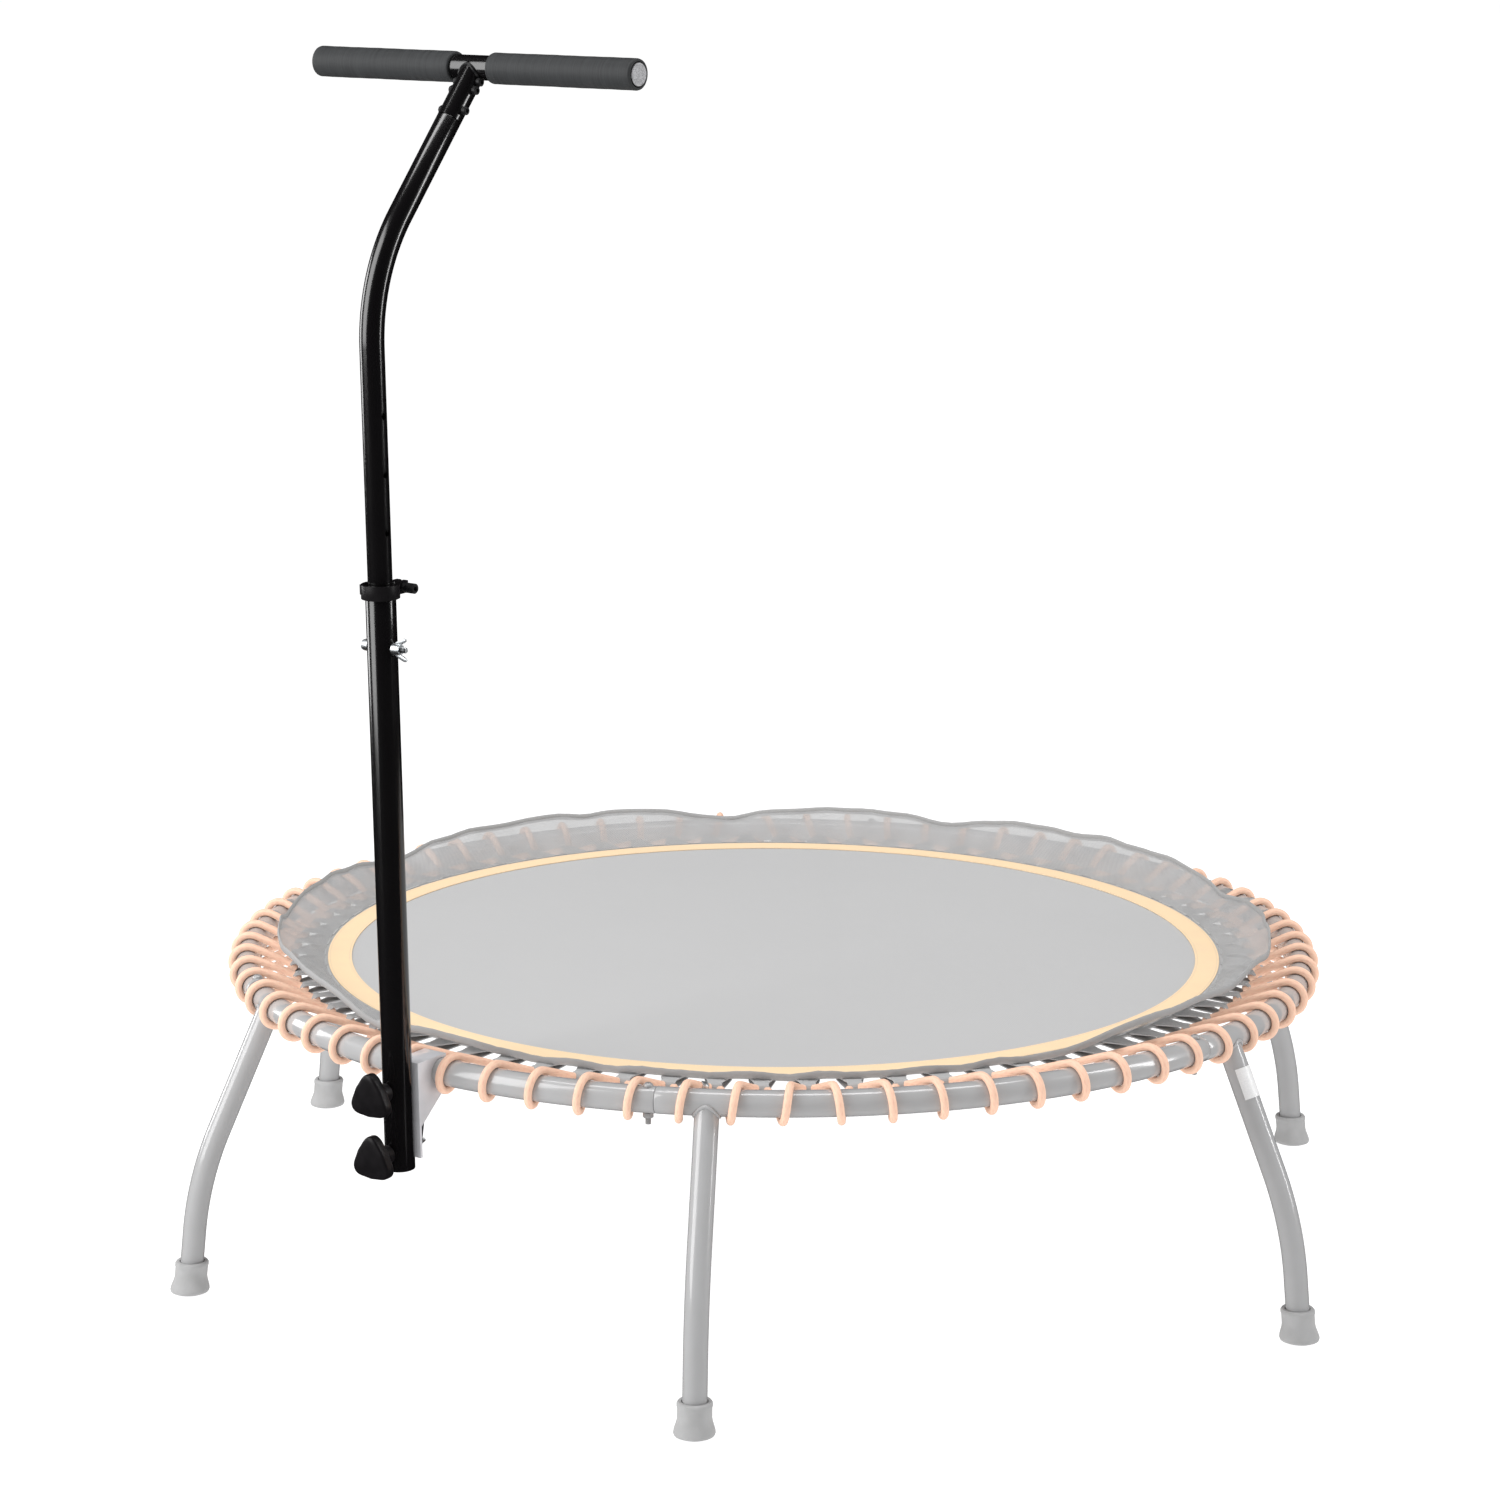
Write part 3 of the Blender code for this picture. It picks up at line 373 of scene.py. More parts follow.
def neck_end():
    """Frame on the seam between neck and stem, Z along the stem."""
    turn = math.radians(NECK_BEND)
    y = NECK_BEND_RADIUS * (1 - math.cos(turn)) + NECK_REACH * math.sin(turn)
    z = NECK_BEND_START + NECK_BEND_RADIUS * math.sin(turn) + NECK_REACH * math.cos(turn)
    return POST @ shift(0, y, z) @ Matrix.Rotation(-turn, 4, "X")


STEM = neck_end()
BAR = STEM @ shift(0, 0, STEM_LENGTH) @ ALONG_X


# ---- finishes ----
STUDIO_LIGHT = 0.98  # light that falls on the object, against the white it is shown as


def linear(value):
    return value / 12.92 if value <= 0.04045 else ((value + 0.055) / 1.055) ** 2.4


def full(color, shade=1.0):
    """The paint that reads as this colour under the studio's light."""
    return (*[linear(min(part * shade, 1)) / STUDIO_LIGHT for part in color], 1)


def faded(color, shade=1.0):
    """The colour laid over white at the colour strength."""
    share = bpy.context.scene.trampoline_looks.strength
    return full([share * min(part * shade, 1) + 1 - share for part in color])


class Maths:
    """One socket of a material's node tree. An expression on it adds Math nodes."""

    def __init__(self, tree, socket):
        self.tree = tree
        self.socket = socket

    def node(self, kind, settings, values, output=0):
        """Add a node: its settings first, then the values or links of its sockets."""
        made = self.tree.nodes.new(kind)
        for name, value in settings.items():
            if name == "stops":
                for stop, (place, shade) in zip(made.color_ramp.elements, value):
                    stop.position = place
                    stop.color = (shade, shade, shade, 1)
            else:
                setattr(made, name, value)
        for name, value in values.items():
            if isinstance(value, Maths):
                self.tree.links.new(value.socket, made.inputs[name])
            else:
                made.inputs[name].default_value = value
        return Maths(self.tree, made.outputs[output])

    def math(self, operation, *values):
        return self.node("ShaderNodeMath", {"operation": operation}, dict(enumerate(values)))

    def __add__(self, other):
        return self.math("ADD", self, other)

    def __sub__(self, other):
        return self.math("SUBTRACT", self, other)

    def __rsub__(self, other):
        return self.math("SUBTRACT", other, self)

    def __mul__(self, other):
        return self.math("MULTIPLY", self, other)

    def __truediv__(self, other):
        return self.math("DIVIDE", self, other)

    __radd__ = __add__
    __rmul__ = __mul__

    def wave(self, count):
        """A sine from 0 to 1, count radians to the unit."""
        return (self * count).math("SINE", self * count) * 0.5 + 0.5

    def ramp(self, low, high):
        """0 below low, 1 above high."""
        return self.node("ShaderNodeMapRange", {"clamp": True}, {0: self, 1: low, 2: high})

    def noise(self, scale, detail=3.0):
        return self.node("ShaderNodeTexNoise", {}, {"Vector": self, "Scale": scale, "Detail": detail})

    def scaled(self, x, y, z):
        return self.node("ShaderNodeMapping", {}, {"Vector": self, "Scale": (x, y, z)})

    def axis(self, index):
        return self.node("ShaderNodeSeparateXYZ", {}, {0: self}, index)

    def mix(self, first, second):
        """Colour from first to second as this goes from 0 to 1."""
        return self.node("ShaderNodeMix", {"data_type": "RGBA"}, {0: self, 6: first, 7: second}, 2)


class Finish:
    """A Principled material, from its uniform values to what varies over the surface."""

    def __init__(self, name, color, roughness, **uniform):
        self.material = bpy.data.materials.new(name)
        self.material.use_nodes = True
        self.tree = self.material.node_tree
        self.shader = self.tree.nodes["Principled BSDF"]
        self.shader.inputs["Base Color"].default_value = color
        self.shader.inputs["Roughness"].default_value = roughness
        for socket, value in uniform.items():
            self.shader.inputs[socket.replace("_", " ").title().replace("Ior", "IOR")].default_value = value

    def coordinate(self, output="Object"):
        node = self.tree.nodes.new("ShaderNodeTexCoord")
        return Maths(self.tree, node.outputs[output])

    def feed(self, socket, value):
        self.tree.links.new(value.socket, self.shader.inputs[socket])

    def bump(self, height, distance, strength=1.0):
        """Raise the surface by height times distance, in metres."""
        made = height.node(
            "ShaderNodeBump", {}, {"Height": height, "Distance": distance, "Strength": strength}
        )
        self.feed("Normal", made)


def powder_coat(name, color, dark, roughness):
    """Baked coat: faint orange peel, cloudy gloss and a little dust."""
    finish = Finish(name, color, roughness, coat_weight=0.7, coat_roughness=0.07)
    place = finish.coordinate()
    peel = place.noise(900, 2)
    cloud = place.noise(35, 4)
    finish.feed("Base Color", cloud.ramp(0.35, 0.7).mix(color, dark))
    finish.feed("Roughness", cloud * 0.14 + (roughness - 0.07))
    finish.bump(peel, 0.00004)
    return finish.material


def frame_coat():
    looks = bpy.context.scene.trampoline_looks
    return powder_coat("frame_powder_coat", faded(looks.steel), faded(looks.steel, 0.75), 0.22)


def bracket_painted_light_coat():
    """The same coat on flat plate, painted paler than on the tubes: painted light that offsets the shade its faces
    fall in.
    """
    looks = bpy.context.scene.trampoline_looks
    return powder_coat("bracket_powder_coat", faded(looks.steel, 5), faded(looks.steel, 4), 0.3)


def weld_bead():
    """Rippled bead under the same coat."""
    looks = bpy.context.scene.trampoline_looks
    finish = Finish("weld_bead", faded(looks.steel, 0.9), 0.38, coat_weight=0.2)
    place = finish.coordinate()
    finish.bump(place.noise(420, 1), 0.0006)
    finish.feed("Roughness", place.noise(200) * 0.2 + 0.28)
    return finish.material


def handle_coat():
    looks = bpy.context.scene.trampoline_looks
    finish = Finish("handle_gloss_coat", full(looks.handle), 0.24, specular_ior_level=0.9)
    place = finish.coordinate()
    cloud = place.noise(22, 4)
    scuffs = place.scaled(40, 40, 700).noise(6, 2).ramp(0.66, 0.80)
    finish.feed("Base Color", scuffs.mix(full(looks.handle), full(looks.handle, 1.5)))
    finish.feed("Roughness", cloud * 0.08 + scuffs * 0.08 + 0.14)
    finish.bump(place.noise(300, 1), 0.000003)
    return finish.material


def foot_rubber():
    looks = bpy.context.scene.trampoline_looks
    finish = Finish("foot_rubber", faded(looks.rubber), 0.82, specular_ior_level=0.35)
    place = finish.coordinate()
    dust = place.noise(60, 5)
    finish.feed("Base Color", dust.ramp(0.4, 0.75).mix(faded(looks.rubber), faded(looks.rubber, 4)))
    finish.feed("Roughness", dust * 0.2 + 0.7)
    finish.bump(place.noise(1500, 3), 0.00008)
    return finish.material


def mat_weave():
    """Plain weave of tapes 1.3 mm wide, slightly open so that light comes through."""
    looks = bpy.context.scene.trampoline_looks
    finish = Finish("mat_weave", faded(looks.mat), 0.62, specular_ior_level=0.15)
    place = finish.coordinate()
    tape = math.pi / 0.0013
    over = (place.axis(0) * tape).math("SINE", place.axis(0) * tape)
    under = (place.axis(1) * tape).math("SINE", place.axis(1) * tape)
    weave = over * under * 0.5 + 0.5
    streaks = place.scaled(9, 220, 1).noise(4, 3)
    cloud = place.noise(5, 3)
    shade = weave * 0.35 + streaks * 0.4 + cloud * 0.3
    finish.feed("Base Color", shade.ramp(0.2, 0.9).mix(faded(looks.mat, 0.90), faded(looks.mat, 1.10)))
    finish.feed("Roughness", weave * 0.15 + 0.55)
    finish.feed("Alpha", 0.965 - weave * 0.05)
    finish.bump(weave, 0.0002, 0.6)
    return finish.material


def polar(place):
    """(radius, angle) of a point round the ring's centre."""
    x, y = place.axis(0) - CENTRE.x, place.axis(1) - CENTRE.y
    return (x * x + y * y).math("SQRT", x * x + y * y), y.math("ARCTAN2", y, x)


def stripe_cloth(sizes):
    """Twill ring with a row of stitches along each edge."""
    looks = bpy.context.scene.trampoline_looks
    finish = Finish("stripe_cloth", faded(looks.stripe), 0.72, specular_ior_level=0.15)
    place = finish.coordinate()
    radius, angle = polar(place)
    twill = (place.axis(0) + place.axis(1)).wave(2 * math.pi / 0.0016)
    inset = 0.0025
    inner = sizes.stripe_outer - sizes.stripe_width + inset
    rows = [((radius - r) * 1000).math("ABSOLUTE", (radius - r) * 1000) for r in (inner, sizes.stripe_outer - inset)]
    near = rows[0].math("MINIMUM", rows[0], rows[1])
    stitch = (1 - near.ramp(0.45, 0.75)) * angle.wave(800).ramp(0.3, 0.45)
    cloud = place.noise(30, 4)
    cloth = cloud.ramp(0.3, 0.7).mix(faded(looks.stripe), faded(looks.stripe, 0.93))
    finish.feed("Base Color", stitch.mix(cloth, faded(looks.stripe, 0.8)))
    finish.feed("Roughness", cloud * 0.15 + 0.62)
    finish.bump(twill * 0.3 + stitch * 0.7, 0.0004, 0.7)
    return finish.material


def webbing():
    """Ribbed black webbing of the mat's hem and tabs."""
    looks = bpy.context.scene.trampoline_looks
    finish = Finish("tab_webbing", faded(looks.net, 0.8), 0.75, specular_ior_level=0.2)
    place = finish.coordinate()
    radius, angle = polar(place)
    ribs = radius.wave(2 * math.pi / 0.0014) * 0.6 + angle.wave(2400) * 0.4
    cloud = place.noise(90, 4)
    finish.feed("Base Color", (ribs * 0.5 + cloud * 0.5).mix(faded(looks.net, 0.4), faded(looks.net, 1.1)))
    finish.feed("Roughness", cloud * 0.2 + 0.65)
    finish.bump(ribs, 0.0004, 0.7)
    return finish.material


def skirt_net():
    """Knitted mesh, see-through between its threads. Its map runs in metres along the cloth."""
    looks = bpy.context.scene.trampoline_looks
    finish = Finish("skirt_net", faded(looks.net), 0.7, specular_ior_level=0.15)
    place = finish.coordinate()
    cloth = finish.coordinate("UV")
    hole = 2 * math.pi / 0.0022
    rising, falling = cloth.axis(0) + cloth.axis(1), cloth.axis(0) - cloth.axis(1)
    threads = rising.wave(hole).math("MAXIMUM", rising.wave(hole), falling.wave(hole))
    cloud = place.noise(24, 4)
    finish.feed("Base Color", cloud.ramp(0.3, 0.7).mix(faded(looks.net, 1.0), faded(looks.net, 1.55)))
    finish.feed("Alpha", threads.ramp(0.45, 0.75) * 0.47 + 0.25)
    finish.feed("Roughness", cloud * 0.2 + 0.6)
    finish.bump(threads, 0.0002, 0.6)
    return finish.material


def cord_sleeve():
    """Braided sleeve, with painted shade in the grooves of its braid. The strand's map gives the braid its slant."""
    looks = bpy.context.scene.trampoline_looks
    finish = Finish("cord_sleeve", faded(looks.cord), 0.5, specular_ior_level=0.25)
    place = finish.coordinate()
    map_ = finish.coordinate("UV")
    along, around = map_.axis(0), map_.axis(1)
    one = (along * 60 + around * 6).wave(2 * math.pi)
    other = (along * 60 - around * 6).wave(2 * math.pi)
    braid = one.math("MAXIMUM", one, other)
    cloud = place.noise(40, 3)
    # painted shade: a darker colour laid in the braid's grooves, and also where the cloud is high as random tone
    painted_groove_shade = (*[linear(part) for part in (0.965, 0.76, 0.66)], 1)
    cloud_and_groove_shade = (cloud * 0.5 + (1 - braid) * 0.6).ramp(0.35, 1.2)
    finish.feed("Base Color", cloud_and_groove_shade.mix(faded(looks.cord), painted_groove_shade))
    finish.feed("Roughness", cloud * 0.15 + 0.42)
    finish.bump(braid, 0.0002, 0.5)
    return finish.material


def grip_foam():
    """Ground foam: fine pores, and faint rings from its turning."""
    looks = bpy.context.scene.trampoline_looks
    finish = Finish("grip_foam", full(looks.foam), 0.55, specular_ior_level=0.25)
    place = finish.coordinate()
    rings = place.scaled(900, 12, 12).noise(1, 4)
    pores = place.noise(1800, 3)
    finish.feed("Base Color", rings.ramp(0.3, 0.7).mix(full(looks.foam, 0.85), full(looks.foam, 1.2)))
    finish.feed("Roughness", rings * 0.35 + 0.38)
    finish.bump(pores * 0.6 + rings * 0.4, 0.00025, 0.6)
    return finish.material


def black_moulding():
    looks = bpy.context.scene.trampoline_looks
    finish = Finish("black_moulding", full(looks.handle, 1.5), 0.36, specular_ior_level=0.2)
    place = finish.coordinate()
    spark = place.noise(1300, 2)
    cloud = place.noise(70, 4)
    finish.feed("Base Color", cloud.ramp(0.3, 0.7).mix(full(looks.handle, 1.3), full(looks.handle, 1.8)))
    finish.feed("Roughness", cloud * 0.2 + 0.27)
    finish.bump(spark, 0.00006, 0.7)
    return finish.material


def bright_zinc():
    finish = Finish("bright_zinc", (0.85, 0.88, 0.90, 1), 0.4, metallic=1.0)
    place = finish.coordinate()
    cloud = place.noise(160, 5)
    grain = place.scaled(300, 300, 2500).noise(1, 2)
    finish.feed("Base Color", cloud.ramp(0.3, 0.75).mix((0.92, 0.95, 0.97, 1), (0.70, 0.74, 0.77, 1)))
    finish.feed("Roughness", cloud * 0.2 + 0.32)
    finish.bump(grain, 0.00006, 0.6)
    return finish.material


def black_oxide():
    finish = Finish("black_oxide", (0.012, 0.012, 0.013, 1), 0.38, specular_ior_level=0.2)
    place = finish.coordinate()
    cloud = place.noise(260, 4)
    finish.feed("Base Color", cloud.ramp(0.45, 0.8).mix((0.010, 0.010, 0.011, 1), (0.035, 0.034, 0.034, 1)))
    finish.feed("Roughness", cloud * 0.3 + 0.22)
    finish.bump(place.noise(1500, 2), 0.00005, 0.6)
    return finish.material


def frame_screw():
    looks = bpy.context.scene.trampoline_looks
    finish = Finish("frame_screw", faded(looks.steel, 0.6), 0.35, metallic=0.2)
    place = finish.coordinate()
    cloud = place.noise(260, 4)
    finish.feed("Base Color", cloud.ramp(0.4, 0.8).mix(faded(looks.steel, 0.3), faded(looks.steel, 1.4)))
    finish.feed("Roughness", cloud * 0.3 + 0.2)
    return finish.material


def plug_speckle():
    finish = Finish("plug_speckle", full((0.62, 0.62, 0.63)), 0.5)
    place = finish.coordinate()
    speck = place.noise(1500, 1).ramp(0.52, 0.60)
    finish.feed("Base Color", speck.mix(full((0.70, 0.70, 0.71)), full((0.45, 0.45, 0.46))))
    finish.feed("Roughness", speck * 0.2 + 0.4)
    finish.bump(speck, 0.00008, 0.5)
    return finish.material


def blank_label():
    """Plain sticker: paper fibres under a thin film."""
    finish = Finish("blank_label", full((0.955, 0.955, 0.955)), 0.45, coat_weight=0.3)
    place = finish.coordinate()
    fibres = place.scaled(1, 1, 3).noise(500, 4)
    finish.feed("Base Color", fibres.ramp(0.35, 0.75).mix(full((0.96, 0.96, 0.96)), full((0.90, 0.90, 0.905))))
    finish.feed("Roughness", fibres * 0.2 + 0.35)
    finish.bump(fibres, 0.00004, 0.5)
    return finish.material


def coated(piece, material, body, slot, *nodes):
    """Give a finished piece its material, the body it rides on and the nodes it stands for."""
    piece.data.materials.clear()
    piece.data.materials.append(material)
    if nodes:
        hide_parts(*nodes)
    if body:
        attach(piece, body)
    return piece


# ---- ring, legs and feet ----
def leg_direction(lean):
    return Vector((math.sin(math.radians(lean)), 0, -math.cos(math.radians(lean))))


def model_rail(sizes):
    """One bent tube from angle 0, its ends eased."""
    start()
    turn = 360 / LEGS - math.degrees(GAP / sizes.rail_radius)
    bpy.ops.mesh.primitive_circle_add(
        vertices=40, radius=sizes.rail_tube / 2, fill_type="NGON",
        location=(sizes.rail_radius, 0, RAIL_HEIGHT - FLOOR), rotation=(math.pi / 2, 0, 0),
    )
    rail = named("ring_tube")
    edit(rail, "FACE")
    sweep(48, turn, (0, 0, 0), (0, 0, 1))
    close_up()
    edit(rail, "FACE")
    pick(rail, "faces", lambda face: len(face.verts) > 4)
    bpy.ops.mesh.bevel(offset=0.0007, segments=2, affect="EDGES")
    close_up()
    return rail


def saddle(across, lean, ring_radius, ring_tube):
    """Points round a leg where it meets the ring's tube."""
    axis = leg_direction(lean)
    side, out = Vector((0, 1, 0)), Vector((math.cos(math.radians(lean)), 0, math.sin(math.radians(lean))))
    origin = Vector((ring_radius, 0, RAIL_HEIGHT - FLOOR))
    points = []
    steps = 28
    for i in range(steps):
        turn = 2 * math.pi * i / steps
        around = origin + across * (math.cos(turn) * out + math.sin(turn) * side)
        near, far = 0.0, 2 * ring_tube
        for _ in range(24):
            middle = (near + far) / 2
            point = around + axis * middle
            gap = math.hypot(math.hypot(point.x, point.y) - ring_radius, point.z - origin.z)
            near, far = (middle, far) if gap < ring_tube else (near, middle)
        points.append(around + axis * near)
    return points


def model_weld(sizes):
    points = saddle(sizes.leg_tube / 2 + 0.0006, LEG_LEAN_TOP, sizes.rail_radius, sizes.rail_tube / 2 + 0.0006)
    return line("leg_weld", points, 0.0017, closed=True, sides=10, steps=3)


def model_leg(sizes):
    """Straight from the ring, one wide bend, and straight into the foot."""
    start()
    origin = Vector((sizes.rail_radius, 0, RAIL_HEIGHT - FLOOR))
    first, last = leg_direction(LEG_LEAN_TOP), leg_direction(LEG_LEAN_FOOT)
    bend_from = origin + first * LEG_STRAIGHT
    inward = Vector((first.z, 0, -first.x))
    middle = bend_from + inward * LEG_BEND_RADIUS
    bpy.ops.mesh.primitive_circle_add(
        vertices=36, radius=sizes.leg_tube / 2, fill_type="NGON",
        location=origin, rotation=(0, math.radians(180 - LEG_LEAN_TOP), 0),
    )
    leg = named("leg_tube")
    edit(leg, "FACE")
    bpy.ops.mesh.extrude_region_move(TRANSFORM_OT_translate={"value": first * LEG_STRAIGHT})
    sweep(18, LEG_LEAN_TOP - LEG_LEAN_FOOT, middle, (0, 1, 0))
    outward = Vector((-last.z, 0, last.x))
    bend_to = middle + outward * LEG_BEND_RADIUS
    rest = (bend_to.z - 0.0085) / -last.z
    bpy.ops.mesh.extrude_region_move(TRANSFORM_OT_translate={"value": last * rest})
    close_up()
    return leg, bend_to + last * rest


def model_foot(sizes, leg_end):
    """Moulded foot: flared base, a sleeve that follows the leg, and a rounded lip."""
    socket = sizes.leg_tube / 2 + 2 * GAP
    sleeve, base = socket + 0.0045, sizes.foot_base / 2
    profile = [
        (0.0, 0.0), (base - 0.0035, 0.0), (base - 0.0008, 0.0012), (base, 0.0034), (base - 0.0004, 0.0060),
        (0.62 * base + 0.38 * sleeve, 0.0095), (sleeve + 0.0008, 0.0140), (sleeve, 0.0180),
        (sleeve, sizes.foot_height - 0.0058), (sleeve + 0.0006, sizes.foot_height - 0.0046),
        (sleeve + 0.0006, sizes.foot_height - 0.0018), (sleeve - 0.0008, sizes.foot_height),
        (socket + 0.0006, sizes.foot_height), (socket, sizes.foot_height - 0.0015), (socket, 0.0100), (0.0, 0.0100),
    ]
    foot = turned("rubber_foot", profile, 44)
    tilt = math.tan(math.radians(LEG_LEAN_FOOT))
    edit(foot)
    for height in sorted({z for _, z in profile}):
        pick(foot, "verts", lambda vert: abs(vert.co.z - height) < 1e-6)
        slide = leg_end.x + (leg_end.z - height) * tilt
        bpy.ops.transform.translate(value=(slide, 0, 0))
    close_up()
    return foot


def model_frame_bolt(sizes):
    """Button-headed bolt through a joint, its nut and thread below."""
    top = sizes.rail_tube / 2
    head = turned("bolt_head", [(0, top + 0.0036), (0.0030, top + 0.0033), (0.0049, top + 0.0018),
                                (0.0055, top + 0.0004), (0.0055, top - 0.0006), (0, top - 0.0006)], 24)
    recess = rod("recess", 0.0018, top + 0.0018, top + 0.006, 6)
    cut(head, recess)
    nut = rod("nut", 0.0057, -top - 0.0050, -top + 0.0004, 6)
    round_edges(nut, 0.0005)
    thread = [(0, -top - 0.0120), (0.0024, -top - 0.0120)]
    for ridge in range(8):
        low = -top - 0.0116 + 0.0009 * ridge
        thread += [(0.0030, low), (0.0026, low + 0.00045)]
    thread += [(0.0026, -top - 0.0040), (0, -top - 0.0040)]
    return merge(head, nut, turned("thread", thread, 20))


class TRAMPOLINE_OT_ring(bpy.types.Operator):
    """Model the six bent tubes of the ring, and the bolt through each joint"""

    bl_idname = "trampoline.ring"
    bl_label = "Ring"

    def execute(self, context):
        sizes = context.scene.trampoline_frame
        rail, bolt = model_rail(sizes), model_frame_bolt(sizes)
        coat, screw = frame_coat(), frame_screw()
        back = math.degrees(0.0085 / sizes.rail_radius)
        for i in range(LEGS):
            seam = 360 / LEGS * i - sizes.seam_angle
            tube = settle(copied(rail, f"ring_tube_{i + 1}", RING @ turn_z(seam)))
            coated(tube, coat, "frame", "black_steel", f"rail_{i + 1}")
            place = RING @ turn_z(seam - back) @ shift(sizes.rail_radius, 0, RAIL_HEIGHT - FLOOR)
            screw_piece = settle(copied(bolt, f"joint_bolt_{i + 1}", place))
            coated(screw_piece, screw, "frame", "black_screw", f"frame_bolt_{i + 1}")
        bpy.data.objects.remove(rail)
        bpy.data.objects.remove(bolt)
        return {"FINISHED"}


class TRAMPOLINE_OT_legs(bpy.types.Operator):
    """Model the six splayed legs, their welds and their rubber feet"""

    bl_idname = "trampoline.legs"
    bl_label = "Legs and feet"

    def execute(self, context):
        sizes = context.scene.trampoline_frame
        leg, leg_end = model_leg(sizes)
        weld, foot = model_weld(sizes), model_foot(sizes, leg_end)
        coat, bead, rubber = frame_coat(), weld_bead(), foot_rubber()
        for i in range(LEGS):
            place = RING @ turn_z(360 / LEGS * i)
            coated(settle(copied(leg, f"leg_tube_{i + 1}", place)), coat, "frame", "black_steel", f"leg_{i + 1}")
            coated(settle(copied(weld, f"leg_weld_{i + 1}", place)), bead, "frame", "black_steel")
            shoe = settle(copied(foot, f"rubber_foot_{i + 1}", place), smooth=50)
            coated(shoe, rubber, "frame", "black_rubber", f"foot_{i + 1}")
        for piece in (leg, weld, foot):
            bpy.data.objects.remove(piece)
        return {"FINISHED"}


class TRAMPOLINE_OT_label(bpy.types.Operator):
    """Model the blank sticker round the outside of one leg"""

    bl_idname = "trampoline.label"
    bl_label = "Leg label"

    def execute(self, context):
        sizes = context.scene.trampoline_frame
        radius = sizes.leg_tube / 2 + GAP
        label = draw("leg_sticker", [(radius, 0, 0.034), (radius, 0, 0.068)])
        edit(label)
        sweep(24, 140, (0, 0, 0), (0, 0, 1))
        close_up()
        modify(label, "SOLIDIFY", thickness=0.0004, offset=1)
        down = Matrix.Rotation(math.radians(180 - LEG_LEAN_TOP), 4, "Y")
        place = RING @ shift(sizes.rail_radius, 0, RAIL_HEIGHT - FLOOR) @ down @ turn_z(110)
        coated(settle(label, place), blank_label(), "frame", "label_white", "leg_label")
        return {"FINISHED"}


# ---- jumping bed ----
def model_mat(sizes):
    """Taut woven disc. Its hem is drawn in a little between the tabs."""
    start()
    count = LOOPS * 6
    bpy.ops.mesh.primitive_circle_add(vertices=count, radius=sizes.mat_radius, fill_type="NGON")
    mat = named("woven_mat")
    edit(mat, "FACE")
    for inset in (0.004, 0.008, 0.030, 0.10, 0.16, 0.16):
        bpy.ops.mesh.inset(thickness=inset)
    bpy.ops.mesh.poke()
    bpy.ops.object.mode_set(mode="OBJECT")
    for vert in mat.data.vertices:
        reach = vert.co.xy.length
        if reach < sizes.mat_radius - 0.013:
            continue
        turn = math.degrees(math.atan2(vert.co.y, vert.co.x)) - FIRST_LOOP
        scallop = 0.0022 * (reach - sizes.mat_radius + 0.013) / 0.013
        vert.co.xy *= 1 - scallop * (1 + math.cos(math.radians(turn * LOOPS))) / 2 / reach
    modify(mat, "SOLIDIFY", thickness=sizes.mat_thickness, offset=-1)
    return mat


def model_tab(bed):
    """Tapered webbing, sewn on over the hem and folded round the cord."""
    top = MAT_TOP - FLOOR
    cord_z = RAIL_HEIGHT - FLOOR
    apex = bed.mat_radius + bed.tab_reach + GAP + bed.cord * 0.575
    fold = bed.cord / 2 + 0.0007
    root = bed.mat_radius - 0.009
    profile = [(root, top + 0.0011), (bed.mat_radius, top + 0.0011), (apex - 0.006, cord_z + fold * 0.9)]
    profile += [
        (apex + fold * math.cos(math.radians(turn)), cord_z + fold * math.sin(math.radians(turn)))
        for turn in range(100, -101, -25)
    ]
    under = top - bed.mat_thickness - 0.0009
    profile += [(apex - 0.006, cord_z - fold * 0.8), (bed.mat_radius, under), (root, under)]
    tab = draw("mat_tab", [(radius, 0, height) for radius, height in profile])
    edit(tab)
    bpy.ops.mesh.extrude_region_move(TRANSFORM_OT_translate={"value": (0, 0.028, 0)})
    bpy.ops.mesh.select_all(action="SELECT")
    bpy.ops.transform.translate(value=(0, -0.014, 0))
    pick(tab, "verts", lambda vert: vert.co.x > bed.mat_radius + 0.004)
    bpy.ops.transform.resize(value=(1, 0.55, 1), center_override=(0, 0, 0))
    close_up()
    modify(tab, "SOLIDIFY", thickness=0.0011, offset=0)
    return tab


class TRAMPOLINE_OT_mat(bpy.types.Operator):
    """Model the woven mat, its tabs and the sewn ring"""

    bl_idname = "trampoline.mat"
    bl_label = "Mat and tabs"

    def execute(self, context):
        bed = context.scene.trampoline_bed
        mat = settle(model_mat(bed), RING @ shift(z=MAT_TOP - FLOOR))
        coated(mat, mat_weave(), "bed", "mat_weave", "jump_mat")
        first = model_tab(bed)
        tabs = [
            copied(first, f"tab_{i}", RING @ turn_z(FIRST_LOOP + PITCH * (i - 0.5))) for i in range(LOOPS)
        ]
        bpy.data.objects.remove(first)
        joined = merge(*tabs)
        joined.name = "mat_tabs"
        coated(settle(joined), webbing(), "bed", "mat_weave")
        hem = turned("mat_hem", ring_profile(bed.stripe_outer + 0.0002, bed.mat_radius - 0.0025,
                                             0.0001, 0.0006), 288)
        coated(settle(hem, RING @ shift(z=MAT_TOP - FLOOR)), joined.data.materials[0], "bed", "mat_weave")
        low, high = GAP, GAP + 0.0008
        inner = bed.stripe_outer - bed.stripe_width
        stripe = turned("sewn_ring", ring_profile(inner, bed.stripe_outer, low, high), 288)
        coated(settle(stripe, RING @ shift(z=MAT_TOP - FLOOR)), stripe_cloth(bed), "bed", "stripe_orange",
               "ring_stripe")
        return {"FINISHED"}


